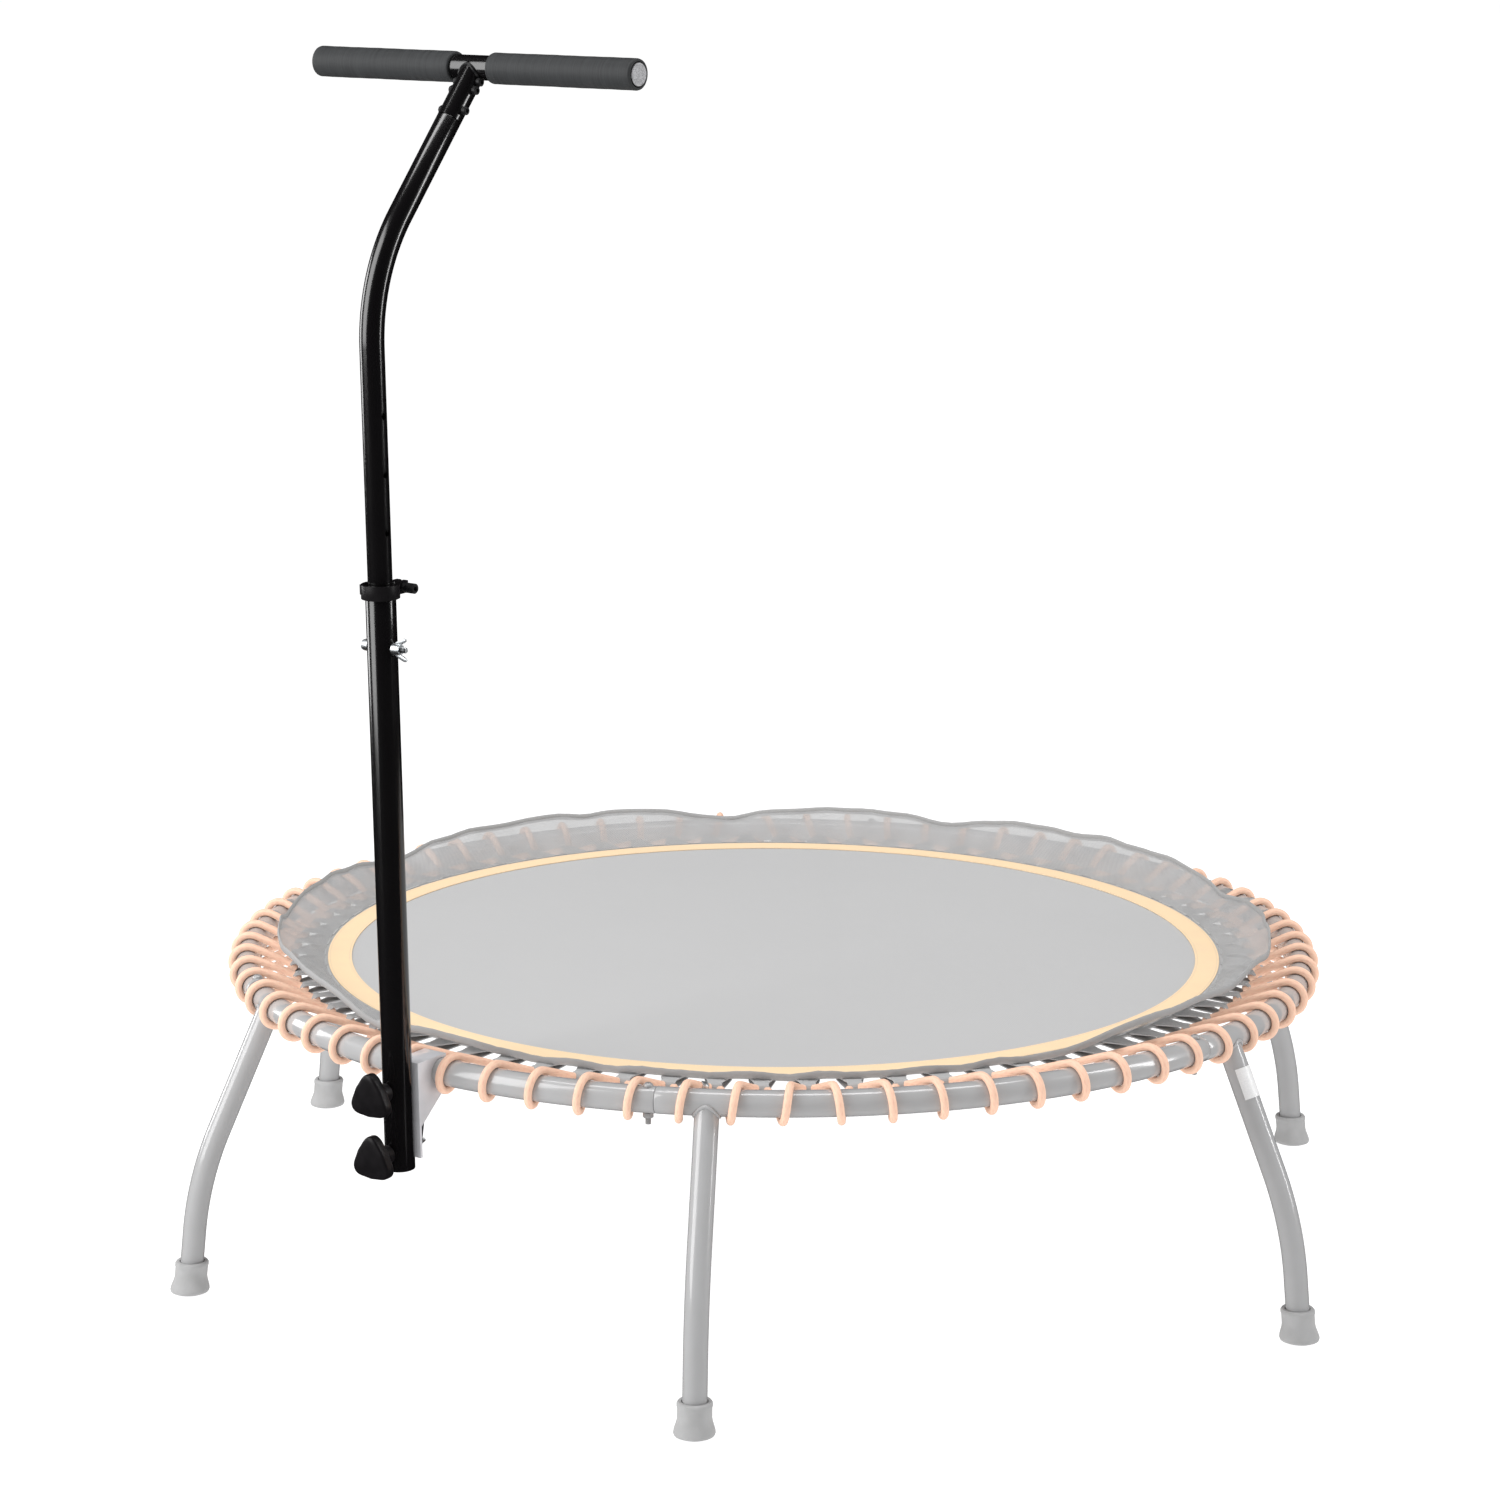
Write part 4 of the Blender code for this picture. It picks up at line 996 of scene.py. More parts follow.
def tucked(angle):
    """1 where the skirt is bunched against the mat, 0 where it stands, eased between."""
    away = abs((angle + 56 + 180) % 360 - 180)
    share = min(max((44 - away) / 16, 0), 1)
    return share * share * (3 - 2 * share)


def ripple(angle, *waves):
    """Sum of (count, size, phase) waves round the ring."""
    turn = math.radians(angle)
    return sum(size * math.sin(count * turn + phase) for count, size, phase in waves)


def skirt_point(bed, angle, share):
    """A point of the skirt: share goes from its seam to its free edge."""
    tuck = tucked(angle)
    wander = ripple(angle, (5, 0.30, 0.4), (9, 0.28, 2.0), (14, 0.24, 4.1), (23, 0.14, 1.2))
    flute = ripple(angle, (37, 0.5, 0.7), (53, 0.4, 2.9), (71, 0.25, 5.0))
    width = bed.skirt_outer - bed.skirt_inner
    rise = bed.skirt_rise * (1 + 0.55 * wander) * (1 - tuck) + 0.004 * tuck
    reach = width * (1 - 0.62 * tuck) - 0.004 * wander * (1 - tuck)
    billow = math.sin(math.pi * share) * (0.005 + 0.003 * wander) * (1 - 0.6 * tuck)
    fold = 0.0022 * flute * share * share * (1 + tuck)
    climb = share ** 1.4
    radius = bed.skirt_inner + reach * share + 0.5 * fold
    return radial(angle, radius, MAT_TOP - FLOOR + 0.0012 + rise * climb + billow + fold * 0.8 + 0.0012 * share)


def model_skirt(bed):
    """Strip of net round the mat, from its seam to its free edge."""
    around, across = 540, 10
    start()
    bpy.ops.mesh.primitive_grid_add(x_subdivisions=around, y_subdivisions=across, size=1)
    skirt = named("net_skirt_cloth")
    cloth = skirt.data.uv_layers.active or skirt.data.uv_layers.new(name="cloth")
    length = 2 * math.pi * bed.skirt_inner
    for loop in skirt.data.loops:
        x, y, _ = skirt.data.vertices[loop.vertex_index].co
        cloth.data[loop.index].uv = ((x + 0.5) * length, (y + 0.5) * 0.058)
    for vert in skirt.data.vertices:
        x, y, _ = vert.co
        vert.co = skirt_point(bed, 360 * (x + 0.5), y + 0.5)
    edit(skirt)
    bpy.ops.mesh.remove_doubles(threshold=1e-6)
    close_up()
    modify(skirt, "SOLIDIFY", thickness=0.0005, offset=0)
    return skirt


class TRAMPOLINE_OT_skirt(bpy.types.Operator):
    """Model the net skirt over the cord, and its bound edge"""

    bl_idname = "trampoline.skirt"
    bl_label = "Net skirt"

    def execute(self, context):
        bed = context.scene.trampoline_bed
        skirt = settle(model_skirt(bed), RING, smooth=80)
        coated(skirt, skirt_net(), "bed", "net_black", "net_skirt")
        points = [skirt_point(bed, 1.5 * i, 1.0) for i in range(240)]
        binding = line("skirt_hem", points, 0.0019, closed=True, sides=8, steps=2)
        edit(binding)
        bpy.ops.object.mode_set(mode="OBJECT")
        flat_profile(binding, points)
        coated(settle(binding, RING, smooth=60), binding_tape(), "bed", "net_black", "skirt_binding")
        return {"FINISHED"}


def flat_profile(binding, points):
    """Draw the round strand out into a tape 5 mm wide that hangs from the edge."""
    for vert in binding.data.vertices:
        angle = math.degrees(math.atan2(vert.co.y, vert.co.x))
        line_radius = skirt_radius(points, angle)
        edge = radial(angle, *line_radius)
        offset = vert.co - edge
        out = radial(angle)
        climb = offset.z
        vert.co = edge + out * offset.dot(out) * 0.8 + Vector((0, 0, climb * 2.1))


def skirt_radius(points, angle):
    """(radius, height) of the free edge at an angle, between the nearest points."""
    step = (angle % 360) / 1.5
    low = points[int(step) % 240]
    high = points[(int(step) + 1) % 240]
    middle = low.lerp(high, step - int(step))
    return middle.xy.length, middle.z


def binding_tape():
    looks = bpy.context.scene.trampoline_looks
    finish = Finish("binding_tape", faded(looks.net, 0.7), 0.7, specular_ior_level=0.15)
    place = finish.coordinate()
    _, angle = polar(place)
    ribs = angle.wave(3600)
    cloud = place.noise(70, 4)
    finish.feed("Base Color", (ribs * 0.4 + cloud * 0.6).mix(faded(looks.net, 0.0), faded(looks.net, 0.5)))
    finish.feed("Roughness", cloud * 0.2 + 0.6)
    finish.bump(ribs, 0.0003, 0.6)
    return finish.material


# ---- elastic cord ----
def loop_route(sizes, bed, way):
    """One loop at angle 0, from the tab before it over the ring's tube and under it to the next tab."""
    apex = bed.mat_radius + bed.tab_reach + GAP + bed.cord * 0.575
    height = RAIL_HEIGHT - FLOOR
    clear = (sizes.rail_tube + bed.cord) / 2 + GAP
    rise = math.asin(clear / (sizes.rail_radius - apex))
    half = math.radians(PITCH / 2)
    end = Vector((apex * math.cos(half), -apex * math.sin(half), height))
    bends = ((0.0002, 0.0032, 0.0), (0.0028, 0.0062, 0.0008), (0.0090, 0.0094, 0.0034), (0.0190, 0.0128, 0.0074))
    lead = [end] + [Vector((apex + out, end.y + across, height + climb)) for out, across, climb in bends]
    first = math.pi / 2 + rise
    steps = 11
    wrap = []
    for i in range(steps + 1):
        turn = first - 2 * first * i / steps
        across = 0.0050 * (2 * i / steps - 1)
        out = sizes.rail_radius + 1.02 * clear * math.cos(turn)
        wrap.append(Vector((out, across, height + 1.02 * clear * math.sin(turn))))
    tail = [Vector((point.x, -point.y, 2 * height - point.z)) for point in reversed(lead)]
    return [Vector((point.x, point.y * way, point.z)) for point in [*lead, *wrap, *tail]]


def strand_map(piece, points, sides):
    """Give a strand a map: metres along it and turns round it."""
    cloth = piece.data.uv_layers.active or piece.data.uv_layers.new(name="strand")
    lengths = [0.0]
    for before, after in zip(points, points[1:]):
        lengths.append(lengths[-1] + (after - before).length)
    for loop in piece.data.loops:
        co = piece.data.vertices[loop.vertex_index].co
        near = min(range(len(points)), key=lambda i: (points[i] - co).length_squared)
        ahead = points[min(near + 1, len(points) - 1)] - points[max(near - 1, 0)]
        along = (co - points[near]).dot(ahead.normalized())
        away = co - points[near] - ahead.normalized() * along
        side = ahead.cross(Vector((0, 0.3, 1))).normalized()
        top = side.cross(ahead.normalized())
        turn = math.atan2(away.dot(top), away.dot(side)) / (2 * math.pi)
        cloth.data[loop.index].uv = (lengths[near] + along, turn * sides / sides)


class TRAMPOLINE_OT_cord(bpy.types.Operator):
    """Model the elastic cord loop by loop, stretched between mat and ring"""

    bl_idname = "trampoline.cord"
    bl_label = "Elastic cord"

    def execute(self, context):
        sizes, bed = context.scene.trampoline_frame, context.scene.trampoline_bed
        sleeve = cord_sleeve()
        masters = {}
        for way in (1, -1):
            points = loop_route(sizes, bed, way)
            masters[way] = line("cord_master", points, bed.cord / 2, sides=12, steps=3)
            strand_map(masters[way], points, 12)
        for step in range(LOOPS):
            angle = FIRST_LOOP + PITCH * (TURN_TAB + step)
            way = 1 if step < LOOPS // 2 else -1
            loop = settle(copied(masters[way], f"cord_loop_{step + 1}", RING @ turn_z(angle)), smooth=60)
            nodes = ["elastic_cord"] if step == 0 else []
            coated(loop, sleeve, None, "cord_orange", *nodes)
            near = RING @ radial(angle, 0.552, RAIL_HEIGHT - FLOOR)
            far = RING @ radial(angle, 0.582, RAIL_HEIGHT - FLOOR)
            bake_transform(loop)
        for master in masters.values():
            bpy.data.objects.remove(master)
        return {"FINISHED"}


class TRAMPOLINE_OT_crimp(bpy.types.Operator):
    """Model the metal sleeve that joins the cord's ends"""

    bl_idname = "trampoline.crimp"
    bl_label = "Cord crimp"

    def execute(self, context):
        bed = context.scene.trampoline_bed
        inner, outer = bed.cord / 2 + 0.0001, bed.cord / 2 + 0.0011
        half = 0.007
        profile = [(outer, -half), (outer, -0.003), (outer - 0.0009, -0.0015), (outer - 0.0009, 0.0015),
                   (outer, 0.003), (outer, half), (inner, half), (inner, -half), (outer, -half)]
        crimp = turned("cord_ferrule", profile, 32)
        round_edges(crimp, 0.0003)
        low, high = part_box("cord_crimp")
        sizes = context.scene.trampoline_frame
        route = loop_route(sizes, bed, -1)
        angle = FIRST_LOOP + PITCH * (TURN_TAB - 3)
        points = [RING @ turn_z(angle) @ point for point in route]
        middle = (low + high) / 2
        near = min(range(len(points) - 1), key=lambda i: (points[i].lerp(points[i + 1], 0.5) - middle).length)
        seat = points[near].lerp(points[near + 1], 0.5)
        turn = (points[near + 1] - points[near]).to_track_quat("Z", "Y").to_matrix().to_4x4()
        coated(settle(crimp, Matrix.Translation(seat) @ turn), bright_zinc(), "bed", "zinc", "cord_crimp")
        return {"FINISHED"}


# ---- post and bracket ----
def model_post(sizes):
    """Straight tube, cut square and eased at both ends, drilled for its bolts."""
    outer, inner = sizes.post_tube / 2, sizes.post_tube / 2 - sizes.post_wall
    post = turned("post_tube", ring_profile(inner, outer, 0.0, POST_LENGTH), 56)
    round_edges(post, 0.0006)
    holes = []
    for side, height in KNOB_HEIGHTS.items():
        hole = rod(f"{side}_hole", 0.0033, -0.03, 0.03, 24)
        holes.append(settle(hole, shift(z=height) @ ALONG_MINUS_Y))
    holes.append(settle(rod("lock_hole", 0.0033, -0.03, 0.03, 24), shift(z=LOCK_HEIGHT) @ ALONG_X))
    return cut(post, *holes)


def model_bracket(sizes, ring):
    """Channel of back plate, slanting cheeks and top plate, fitted round the ring's tube."""
    lean = math.radians(POST_LEAN)
    out, up = POST_OFFSET - ring.rail_radius, RAIL_HEIGHT - FLOOR - POST_FOOT
    rail_y, rail_z = out * math.cos(lean) + up * math.sin(lean), up * math.cos(lean) - out * math.sin(lean)
    near = sizes.post_tube / 2 + GAP
    thick, half, bottom, tip = 0.003, 0.0145, 0.0085, 0.042
    far, top = rail_y + 0.009, rail_z + ring.rail_tube / 2 + GAP + thick
    low = rail_z - ring.rail_tube / 2 - thick
    outline = [(near, bottom), (near + thick, bottom), (near + thick, tip), (far, low), (far, top), (near, top)]
    bracket = plate("ring_bracket", outline, -half, half)
    inside = half - thick
    channel = block("channel", (-inside, near + thick, 0), (inside, far + 0.03, top - thick))
    start()
    bpy.ops.mesh.primitive_torus_add(
        major_radius=ring.rail_radius, minor_radius=ring.rail_tube / 2 + GAP, major_segments=360, minor_segments=40,
    )
    ring_cutter = settle(named("ring_cutter"), POST.inverted() @ RING @ shift(z=RAIL_HEIGHT - FLOOR))
    cut(bracket, channel, ring_cutter)
    round_edges(bracket, 0.0005)
    return bracket


class TRAMPOLINE_OT_post(bpy.types.Operator):
    """Model the lower post and the bracket that hooks on the ring"""

    bl_idname = "trampoline.post"
    bl_label = "Post and bracket"

    def execute(self, context):
        sizes, ring = context.scene.trampoline_handle, context.scene.trampoline_frame
        post = settle(model_post(sizes), POST)
        coated(post, handle_coat(), "frame", "handle_black", "upright_tube")
        bracket = settle(model_bracket(sizes, ring), POST)
        # the bracket's coat is painted paler, as painted light on its shaded faces
        coated(bracket, bracket_painted_light_coat(), "frame", "black_steel", "rail_bracket")
        return {"FINISHED"}


# ---- knobs ----
def knob_outline(turn):
    """Polar form of a triangle with full sides, one corner up."""
    return 0.84 + 0.13 * math.cos(3 * turn) + 0.03 * math.cos(6 * turn)


def model_knob(sizes):
    """Three-cornered knob: round hub, straight rim and a low dome."""
    start()
    count, face, depth = 72, 0.048, 0.013
    size = sizes.knob_radius
    bpy.ops.mesh.primitive_circle_add(vertices=count, radius=1, fill_type="NGON", location=(0, 0, face - depth))
    knob = named("knob")
    bpy.ops.object.transform_apply(location=True, rotation=True, scale=True)
    for vert in knob.data.vertices:
        turn = math.atan2(vert.co.x, vert.co.y)
        reach = size * knob_outline(turn)
        vert.co.xy = (reach * math.sin(turn), reach * math.cos(turn))
    edit(knob, "FACE")
    levels = ((1.0, 0.0), (1.045, 0.0012), (1.06, 0.0028), (1.06, 0.0090), (1.04, 0.0104), (0.985, 0.0112),
              (0.86, 0.0119), (0.66, 0.0125), (0.40, 0.0129), (0.16, 0.0130))
    for (before, low), (after, high) in zip(levels, levels[1:]):
        bpy.ops.mesh.extrude_region_move(TRANSFORM_OT_translate={"value": (0, 0, high - low)})
        grow = after / before
        bpy.ops.transform.resize(value=(grow, grow, 1), center_override=(0, 0, 0))
    bpy.ops.mesh.select_all(action="SELECT")
    bpy.ops.transform.resize(value=(1 / 1.06, 1 / 1.06, 1), center_override=(0, 0, 0))
    close_up()
    hub_back = sizes.post_tube / 2 + 0.002
    hub = turned("hub", [(0, face - depth + 0.001), (0.0092, face - depth + 0.001), (0.0100, face - depth - 0.001),
                         (0.0096, hub_back + 0.0008), (0.0088, hub_back), (0, hub_back)], 40)
    cut(knob, hub, operation="UNION")
    return knob


def model_stud(sizes):
    """Threaded stud from a knob through post and bracket."""
    reach, radius = 0.038, 0.003
    profile = [(0, sizes.post_tube / 2 + 0.0017), (radius, sizes.post_tube / 2 + 0.0017)]
    pitch, count = 0.001, 50
    for ridge in range(count):
        high = 0.0150 - pitch * ridge
        profile += [(radius, high), (radius - 0.0004, high - pitch / 2)]
    profile += [(radius - 0.0008, -reach), (0, -reach)]
    return turned("stud", profile, 24)


def model_nut(across, depth, bore):
    nut = rod("nut", across / 2 / math.cos(math.pi / 6), 0, depth, 6)
    round_edges(nut, 0.0004)
    cut(nut, rod("bore", bore, -0.01, 0.02, 24))
    return nut


class TRAMPOLINE_OT_knobs(bpy.types.Operator):
    """Model the two hand knobs with their studs and nuts"""

    bl_idname = "trampoline.knobs"
    bl_label = "Hand knobs"

    def execute(self, context):
        sizes = context.scene.trampoline_handle
        moulding, zinc = black_moulding(), bright_zinc()
        seat = sizes.post_tube / 2 + GAP + 0.003 + GAP
        for side, height in KNOB_HEIGHTS.items():
            place = POST @ shift(z=height) @ ALONG_MINUS_Y
            knob = settle(model_knob(sizes), place, smooth=40)
            knob.name = f"{side}_hand_knob"
            coated(knob, moulding, f"{side}_knob", "knob_black", f"{side}_knob")
            stud = settle(model_stud(sizes), place)
            stud.name = f"{side}_knob_stud"
            coated(stud, zinc, f"{side}_knob", "zinc", f"{side}_stud")
            nut = settle(model_nut(0.010, 0.005, 0.0033), POST @ shift(y=seat, z=height) @ ALONG_MINUS_Y @ shift(z=-0.005))
            nut.name = f"{side}_bracket_nut"
            coated(nut, zinc, "frame", "zinc", f"{side}_nut")
        return {"FINISHED"}


# ---- collar, lock bolt and wing nut ----
def cap_screw(name, thread, head, head_length, low, seat):
    """Cap screw along Z with a hexagon socket in its head."""
    top = seat + head_length
    profile = [(0, low), (thread - 0.0005, low), (thread, low + 0.0005), (thread, seat), (head - 0.0003, seat),
               (head, seat + 0.0003), (head, top - 0.0008), (head - 0.0008, top), (0, top)]
    screw = turned(name, profile, 36)
    socket = rod("socket", 0.52 * head, top - 0.45 * head_length, top + 0.002, 6)
    return cut(screw, socket)


def model_collar(sizes):
    """Split clamp ring with two ears and a stepped lug."""
    inner = sizes.post_tube / 2 + GAP
    outer = inner + 0.0038
    high = POST_LENGTH + 0.001
    low = high - 0.0145
    slit, ear, reach = 0.0015, 0.006, 0.014
    collar = turned("collar_ring", ring_profile(inner, outer, low, high), 56)
    ears = block("ears", (-slit - ear, inner + 0.001, low + 0.001), (slit + ear, outer + reach, high - 0.001))
    lug = block("lug", (-outer - 0.003, -0.006, low + 0.002), (-inner - 0.001, 0.006, high - 0.002))
    cut(collar, ears, lug, operation="UNION")
    slot = block("slot", (-slit, 0, low - 0.01), (slit, outer + 2 * reach, high + 0.01))
    middle = (low + high) / 2
    screw_y = sizes.post_tube / 2 + 0.0038 + reach * 0.55
    hole = settle(rod("hole", 0.0028, -0.02, 0.02, 24), shift(y=screw_y, z=middle) @ ALONG_X)
    cut(collar, slot, hole)
    round_edges(collar, 0.0007)
    return collar, shift(y=screw_y, z=middle) @ ALONG_X


class TRAMPOLINE_OT_collar(bpy.types.Operator):
    """Model the clamp at the post's top and its cap screw"""

    bl_idname = "trampoline.collar"
    bl_label = "Collar clamp"

    def execute(self, context):
        sizes = context.scene.trampoline_handle
        collar, screw_place = model_collar(sizes)
        coated(settle(collar, POST), black_moulding(), "frame", "knob_black", "collar_clamp")
        seat = 0.0015 + 0.006 + GAP
        screw = cap_screw("clamp_screw", 0.0025, 0.0052, 0.015, -seat - 0.002, seat)
        coated(settle(screw, POST @ screw_place), black_oxide(), "frame", "black_screw", "collar_screw")
        return {"FINISHED"}


def model_wing_nut(sizes):
    """Forged nut with two rounded wings that lean outwards."""
    seat = sizes.post_tube / 2 + GAP
    boss = turned("wing_boss", [(0.0033, seat), (0.0062, seat), (0.0060, seat + 0.003), (0.0052, seat + 0.009),
                                (0.0033, seat + 0.009), (0.0033, seat)], 36)
    for side in (1, -1):
        corners = [(0.0042, 0.0005), (0.0042, 0.0070), (0.0068, 0.0128), (0.0086, 0.0158), (0.0104, 0.0168),
                   (0.0117, 0.0156), (0.0118, 0.0130), (0.0104, 0.0090), (0.0076, 0.0030), (0.0058, 0.0005)]
        wing = draw("wing", [(side * across, -0.0011, seat + out) for across, out in corners])
        bpy.ops.mesh.select_all(action="SELECT")
        bpy.ops.mesh.edge_face_add()
        bpy.ops.mesh.extrude_region_move(TRANSFORM_OT_translate={"value": (0, 0.0022, 0)})
        close_up()
        round_edges(wing, 0.0006, angle=50)
        cut(boss, wing, operation="UNION")
    return boss


class TRAMPOLINE_OT_lock(bpy.types.Operator):
    """Model the lock bolt and its wing nut"""

    bl_idname = "trampoline.lock"
    bl_label = "Lock bolt and wing nut"

    def execute(self, context):
        sizes = context.scene.trampoline_handle
        place = POST @ shift(z=LOCK_HEIGHT) @ ALONG_X
        seat = -sizes.post_tube / 2 - GAP
        radius, head, end = 0.003, 0.006, 0.032
        profile = [(0, seat - 0.0092), (head - 0.0022, seat - 0.0092), (head - 0.0006, seat - 0.0084),
                   (head, seat - 0.0066), (head, seat - 0.0018), (head + 0.0006, seat - 0.0012), (head + 0.0006, seat),
                   (radius, seat), (radius, 0.016)]
        for ridge in range(15):
            low = 0.016 + 0.001 * ridge
            profile += [(radius - 0.0004, low + 0.0005), (radius, low + 0.001)]
        profile += [(radius - 0.0008, end), (0, end)]
        bolt = settle(turned("lock_pin", profile, 30), place)
        zinc = bright_zinc()
        coated(bolt, zinc, "frame", "zinc", "lock_bolt")
        nut = settle(model_wing_nut(sizes), place)
        nut.name = "wing_nut_forged"
        coated(nut, zinc, "wing_nut", "zinc", "wing_nut")
        return {"FINISHED"}


# ---- neck, stem, crossbar and grips ----
def model_neck(sizes):
    """Tube with one bend towards the mat, drilled along its straight part."""
    start()
    bpy.ops.mesh.primitive_circle_add(
        vertices=48, radius=sizes.neck_tube / 2, fill_type="NOTHING", location=(0, 0, NECK_FOOT)
    )
    neck = named("neck_tube_bent")
    edit(neck, "EDGE")
    bpy.ops.mesh.extrude_region_move(TRANSFORM_OT_translate={"value": (0, 0, NECK_BEND_START - NECK_FOOT)})
    centre = (0, NECK_BEND_RADIUS, NECK_BEND_START)
    sweep(28, -NECK_BEND, centre, (1, 0, 0))
    turn = math.radians(NECK_BEND)
    along = Vector((0, math.sin(turn), math.cos(turn)))
    bpy.ops.mesh.extrude_region_move(TRANSFORM_OT_translate={"value": along * (NECK_REACH - GAP)})
    close_up()
    modify(neck, "SOLIDIFY", thickness=0.0015, offset=-1)
    round_edges(neck, 0.0004)
    holes = []
    for number in range(-HOLES_BELOW, HOLES_ABOVE + 1):
        hole = rod("height_hole", 0.0033, -0.03, 0.03, 24)
        holes.append(settle(hole, shift(z=LOCK_HEIGHT + HOLE_PITCH * number) @ ALONG_X))
    return cut(neck, merge(*holes))


def model_stem(sizes):
    """Short tube between neck and crossbar, its top shaped to the bar."""
    outer = sizes.neck_tube / 2
    stem = turned("stem_sleeve", ring_profile(outer - 0.0015, outer, GAP, STEM_LENGTH), 48)
    saddle_cutter = settle(rod("bar_cutter", outer, -0.03, 0.03, 48), shift(z=STEM_LENGTH) @ ALONG_X)
    cut(stem, saddle_cutter)
    round_edges(stem, 0.0004)
    return stem


def model_bar_weld(sizes):
    """Bead where the stem meets the bar, two tubes of one size."""
    radius = sizes.neck_tube / 2
    points = []
    for i in range(32):
        turn = 2 * math.pi * i / 32
        x, y = radius * math.cos(turn), radius * math.sin(turn)
        drop = math.sqrt(max((radius + 0.0008) ** 2 - y * y, 0))
        points.append(Vector((x, y, STEM_LENGTH - drop)))
    return line("bar_weld", points, 0.0016, closed=True, sides=10)


class TRAMPOLINE_OT_neck(bpy.types.Operator):
    """Model the bent neck, the stem on its end and the screws through them"""

    bl_idname = "trampoline.neck"
    bl_label = "Neck and stem"

    def execute(self, context):
        sizes = context.scene.trampoline_handle
        coat, screw = handle_coat(), black_oxide()
        coated(settle(model_neck(sizes), POST), coat, "neck", "handle_black", "neck_tube")
        coated(settle(model_stem(sizes), STEM), coat, "neck", "handle_black", "stem_tube")
        weld = settle(model_bar_weld(sizes), STEM)
        coated(weld, screw, "neck", "handle_black")
        seat = sizes.neck_tube / 2 + GAP
        for number, height in enumerate(STEM_BOLTS):
            piece = cap_screw(f"stem_screw_{number + 1}", 0.0025, 0.00425, 0.005, -seat - 0.006, seat)
            nut = model_nut(0.0080, 0.004, 0.0020)
            merge(piece, settle(nut, shift(z=-seat - 0.004)))
            coated(settle(piece, STEM @ shift(z=height) @ ALONG_X), screw, "neck", "black_screw",
                   f"stem_bolt_{number + 1}")
        return {"FINISHED"}


class TRAMPOLINE_OT_crossbar(bpy.types.Operator):
    """Model the crossbar and the plugs in its ends"""

    bl_idname = "trampoline.crossbar"
    bl_label = "Crossbar"

    def execute(self, context):
        sizes = context.scene.trampoline_handle
        outer, half = sizes.neck_tube / 2, sizes.bar_half
        bar = turned("crossbar", ring_profile(outer - 0.0015, outer, -half, half), 48)
        coated(settle(bar, BAR), handle_coat(), "neck", "handle_black", "crossbar_tube")
        speckle = plug_speckle()
        for side, way in (("right", 1), ("left", -1)):
            pin = outer - 0.0015 - GAP
            end = half + GAP
            flange = outer - 0.0011
            profile = [(0, end - 0.018), (pin, end - 0.018), (pin, end), (flange, end), (flange, end + 0.0005),
                       (flange - 0.0004, end + 0.0010), (flange - 0.0014, end + 0.0013), (0, end + 0.0014)]
            plug = turned(f"{side}_plug", [(radius, way * height) for radius, height in profile], 40)
            coated(settle(plug, BAR, smooth=50), speckle, "neck", "plug_grey", f"{side}_end_plug")
        return {"FINISHED"}


def model_grip(side, way, sizes):
    """Foam sleeve with soft ends, a little uneven along its length."""
    inner, outer = sizes.neck_tube / 2 + GAP, sizes.grip_tube / 2
    near, far = 0.0245, sizes.bar_half
    profile = [(inner, near), (inner + 0.0008, near - 0.0), (outer - 0.0014, near), (outer - 0.0004, near + 0.0006),
               (outer, near + 0.0020)]
    steps = 60
    profile += [(outer, near + 0.002 + (far - near - 0.004) * i / steps) for i in range(1, steps)]
    profile += [(outer, far - 0.0020), (outer - 0.0004, far - 0.0006), (outer - 0.0014, far), (inner, far),
                (inner, near)]
    grip = turned(f"{side}_foam_grip", [(radius, way * height) for radius, height in profile], 72)
    for vert in grip.data.vertices:
        if vert.co.xy.length < inner + 0.001:
            continue
        turn = math.atan2(vert.co.y, vert.co.x)
        along = vert.co.z / (far - near)
        swell = math.sin(17 * along + 2 * turn) * math.sin(31 * along - turn + way)
        vert.co.xy *= 1 - 0.00012 * (1 + swell) / vert.co.xy.length
    return grip


class TRAMPOLINE_OT_grips(bpy.types.Operator):
    """Model the two foam grips"""

    bl_idname = "trampoline.grips"
    bl_label = "Foam grips"

    def execute(self, context):
        sizes = context.scene.trampoline_handle
        foam = grip_foam()
        for side, way in (("right", 1), ("left", -1)):
            grip = settle(model_grip(side, way, sizes), BAR, smooth=60)
            coated(grip, foam, "neck", "foam_grey", f"{side}_grip")
        return {"FINISHED"}


# ---- stage ----
CAMERA_PLACE = (2.70231, -3.68036, 1.54117)  # from the ring's centre on the floor
CAMERA_TURN = (77.7741, -0.2111, 36.6812)
CAMERA_LENS = 98.43


def add_camera():
    start()
    location = Vector((CENTRE.x, CENTRE.y, FLOOR)) + Vector(CAMERA_PLACE)
    turn = [math.radians(angle) for angle in CAMERA_TURN]
    bpy.ops.object.camera_add(location=location, rotation=turn)
    camera = bpy.context.object
    camera.data.lens = CAMERA_LENS
    camera.data.sensor_width = 36
    camera.data.clip_end = 200
    bpy.context.scene.camera = camera


def add_light(name, location, target, size, power, height=None):
    start()
    bpy.ops.object.light_add(type="AREA", location=location)
    light = bpy.context.object
    light.name = name
    light.rotation_euler = (Vector(target) - Vector(location)).to_track_quat("-Z", "Y").to_euler()
    light.data.shape = "RECTANGLE"
    light.data.size = size
    light.data.size_y = height or size
    light.data.energy = power


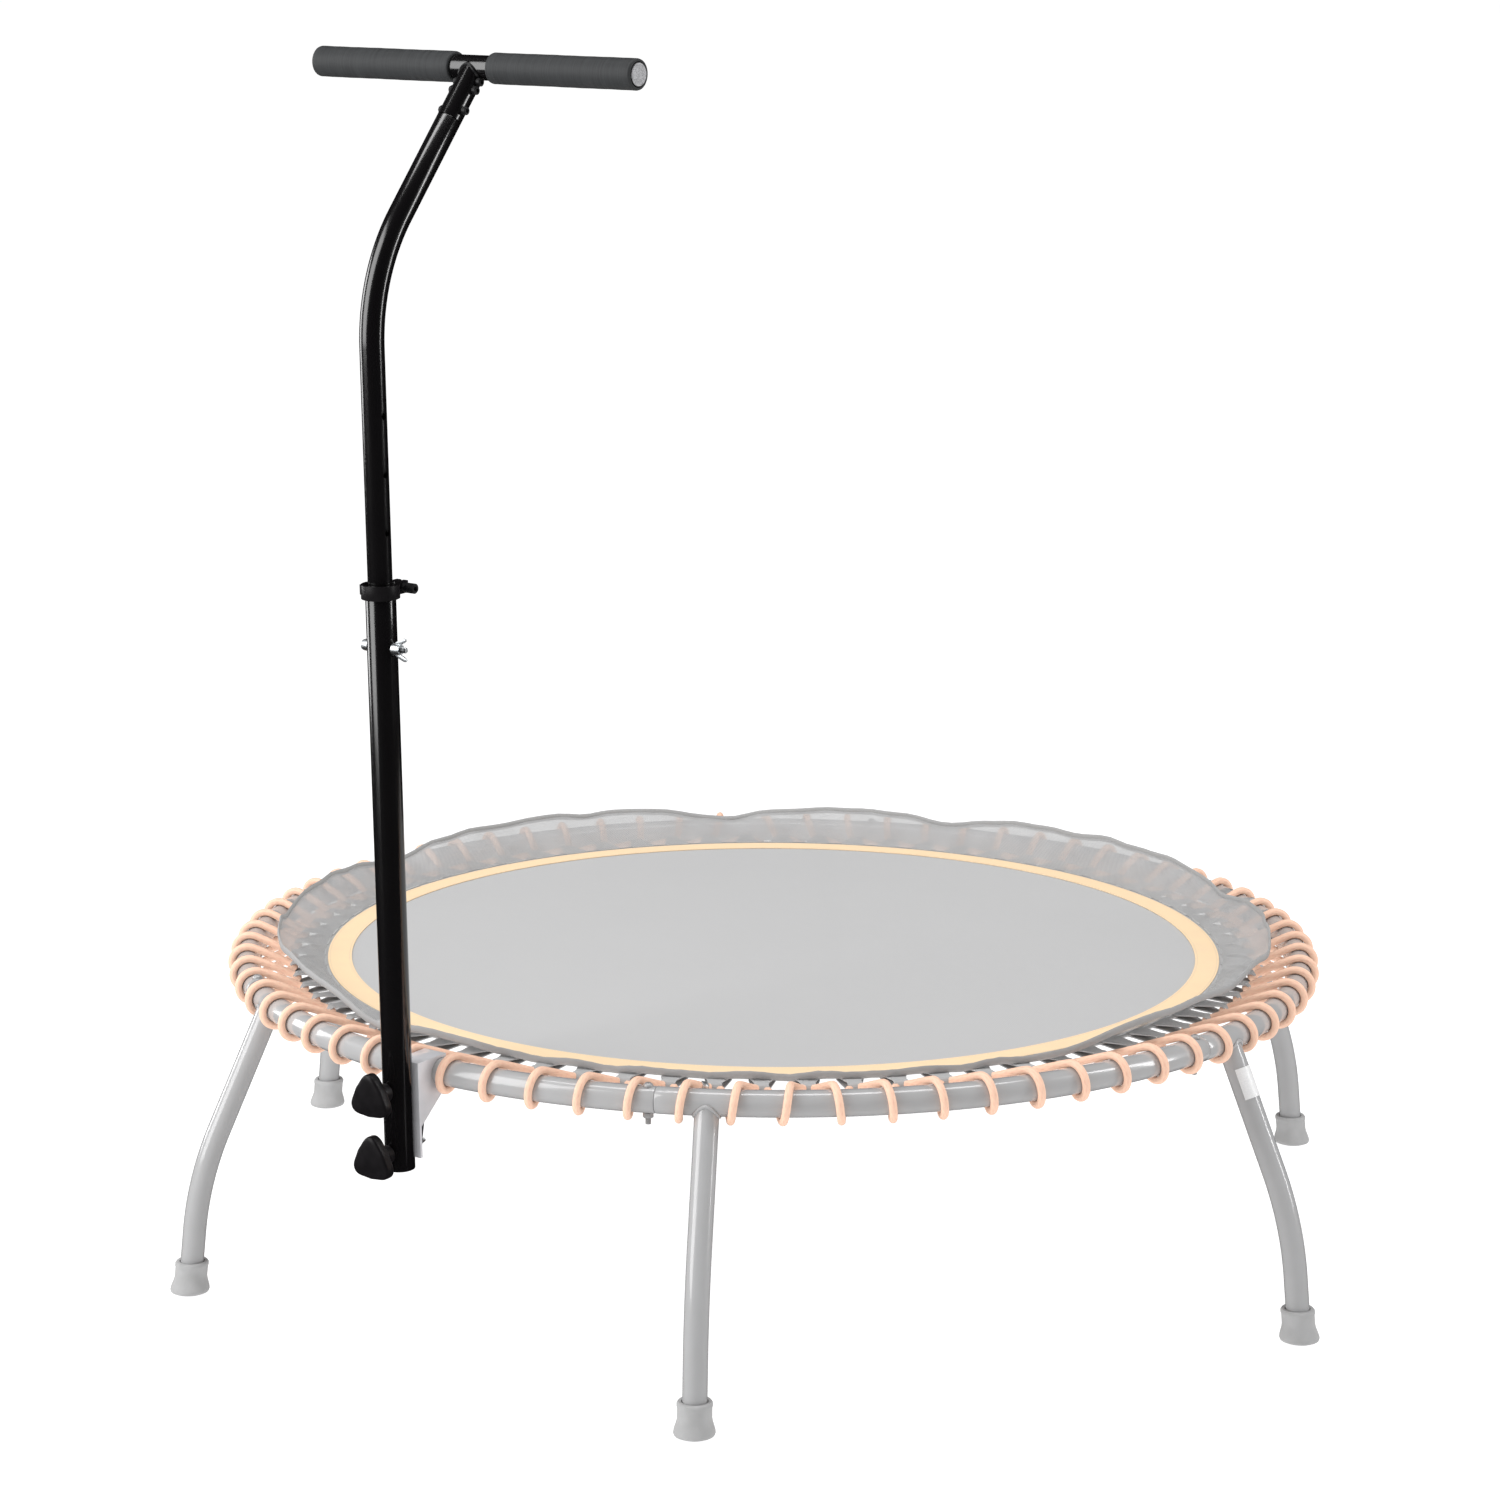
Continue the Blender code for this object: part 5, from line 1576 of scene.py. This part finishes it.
class TRAMPOLINE_OT_stage(bpy.types.Operator):
    """Add the pale floor, the soft lights and the camera"""

    bl_idname = "trampoline.stage"
    bl_label = "Stage"

    def execute(self, context):
        start()
        bpy.ops.mesh.primitive_plane_add(size=160, location=(0, 0, FLOOR - 0.0005))
        floor = named("floor")
        pale = Finish("pale_floor", (0.30, 0.30, 0.30, 1), 0.9, emission_color=(1, 1, 1, 1), emission_strength=0.92)
        floor.data.materials.append(pale.material)
        floor.visible_glossy = False
        world = context.scene.world or bpy.data.worlds.new("studio")
        context.scene.world = world
        world.use_nodes = True
        world.node_tree.nodes["Background"].inputs["Color"].default_value = (1, 1, 1, 1)
        world.node_tree.nodes["Background"].inputs["Strength"].default_value = 0.38
        world.cycles_visibility.glossy = False
        middle = (0, 0, 0.5)
        away = math.radians(CAMERA_TURN[2])
        left = Vector((-math.cos(away), -math.sin(away), 0))
        towards = Vector((math.sin(away), -math.cos(away), 0))
        add_light("left_strip", left * 3.2 + towards * 1.6 + Vector((0, 0, 2.2)), middle, 2.4, 112, 3.6)
        add_light("right_strip", -left * 3.6 + towards * 0.6 + Vector((0, 0, 2.0)), middle, 0.5, 48, 3.2)
        add_light("edge_strip", left * 3.4 - towards * 1.2 + Vector((0, 0, 1.2)), middle, 1.2, 36, 1.8)
        bpy.context.object.visible_diffuse = False
        bpy.context.object.visible_camera = False
        add_light("top_panel", Vector((0, 0, 4.5)), middle, 4.5, 84, 1.0)
        bpy.context.object.rotation_euler = (0, 0, away)
        context.scene.view_settings.view_transform = "Standard"
        add_camera()
        return {"FINISHED"}


OPERATORS = (
    TRAMPOLINE_OT_stage,
    TRAMPOLINE_OT_ring,
    TRAMPOLINE_OT_legs,
    TRAMPOLINE_OT_label,
    TRAMPOLINE_OT_mat,
    TRAMPOLINE_OT_skirt,
    TRAMPOLINE_OT_cord,
    TRAMPOLINE_OT_crimp,
    TRAMPOLINE_OT_post,
    TRAMPOLINE_OT_knobs,
    TRAMPOLINE_OT_collar,
    TRAMPOLINE_OT_lock,
    TRAMPOLINE_OT_neck,
    TRAMPOLINE_OT_crossbar,
    TRAMPOLINE_OT_grips,
)
GROUPS = {
    "trampoline_frame": TrampolineFrameSizes,
    "trampoline_bed": TrampolineBedSizes,
    "trampoline_handle": TrampolineHandleSizes,
    "trampoline_looks": TrampolineLooks,
}


class TRAMPOLINE_PT_pieces(bpy.types.Panel):
    """Sizes, colours and pieces of the trampoline"""

    bl_idname = "TRAMPOLINE_PT_pieces"
    bl_label = "Trampoline"
    bl_space_type = "VIEW_3D"
    bl_region_type = "UI"
    bl_category = "Trampoline"

    def draw(self, context):
        for group, kind in GROUPS.items():
            box = self.layout.box()
            for name in kind.__annotations__:
                box.prop(getattr(context.scene, group), name)
        for operator in OPERATORS:
            self.layout.operator(operator.bl_idname)


def register():
    for kind in (*GROUPS.values(), *OPERATORS, TRAMPOLINE_PT_pieces):
        bpy.utils.register_class(kind)
    for group, kind in GROUPS.items():
        setattr(bpy.types.Scene, group, bpy.props.PointerProperty(type=kind))


def unregister():
    for group in GROUPS:
        delattr(bpy.types.Scene, group)
    for kind in (TRAMPOLINE_PT_pieces, *reversed(OPERATORS), *GROUPS.values()):
        bpy.utils.unregister_class(kind)


def clear_startup():
    """Remove what a new file holds besides the frame."""
    for name in ("Cube", "Light", "Camera"):
        item = bpy.data.objects.get(name)
        if item:
            bpy.data.objects.remove(item)


def main():
    register()
    clear_startup()
    for operator in OPERATORS:
        getattr(bpy.ops.trampoline, operator.bl_idname.split(".")[1])()
    start()


if __name__ == "__main__":
    main()
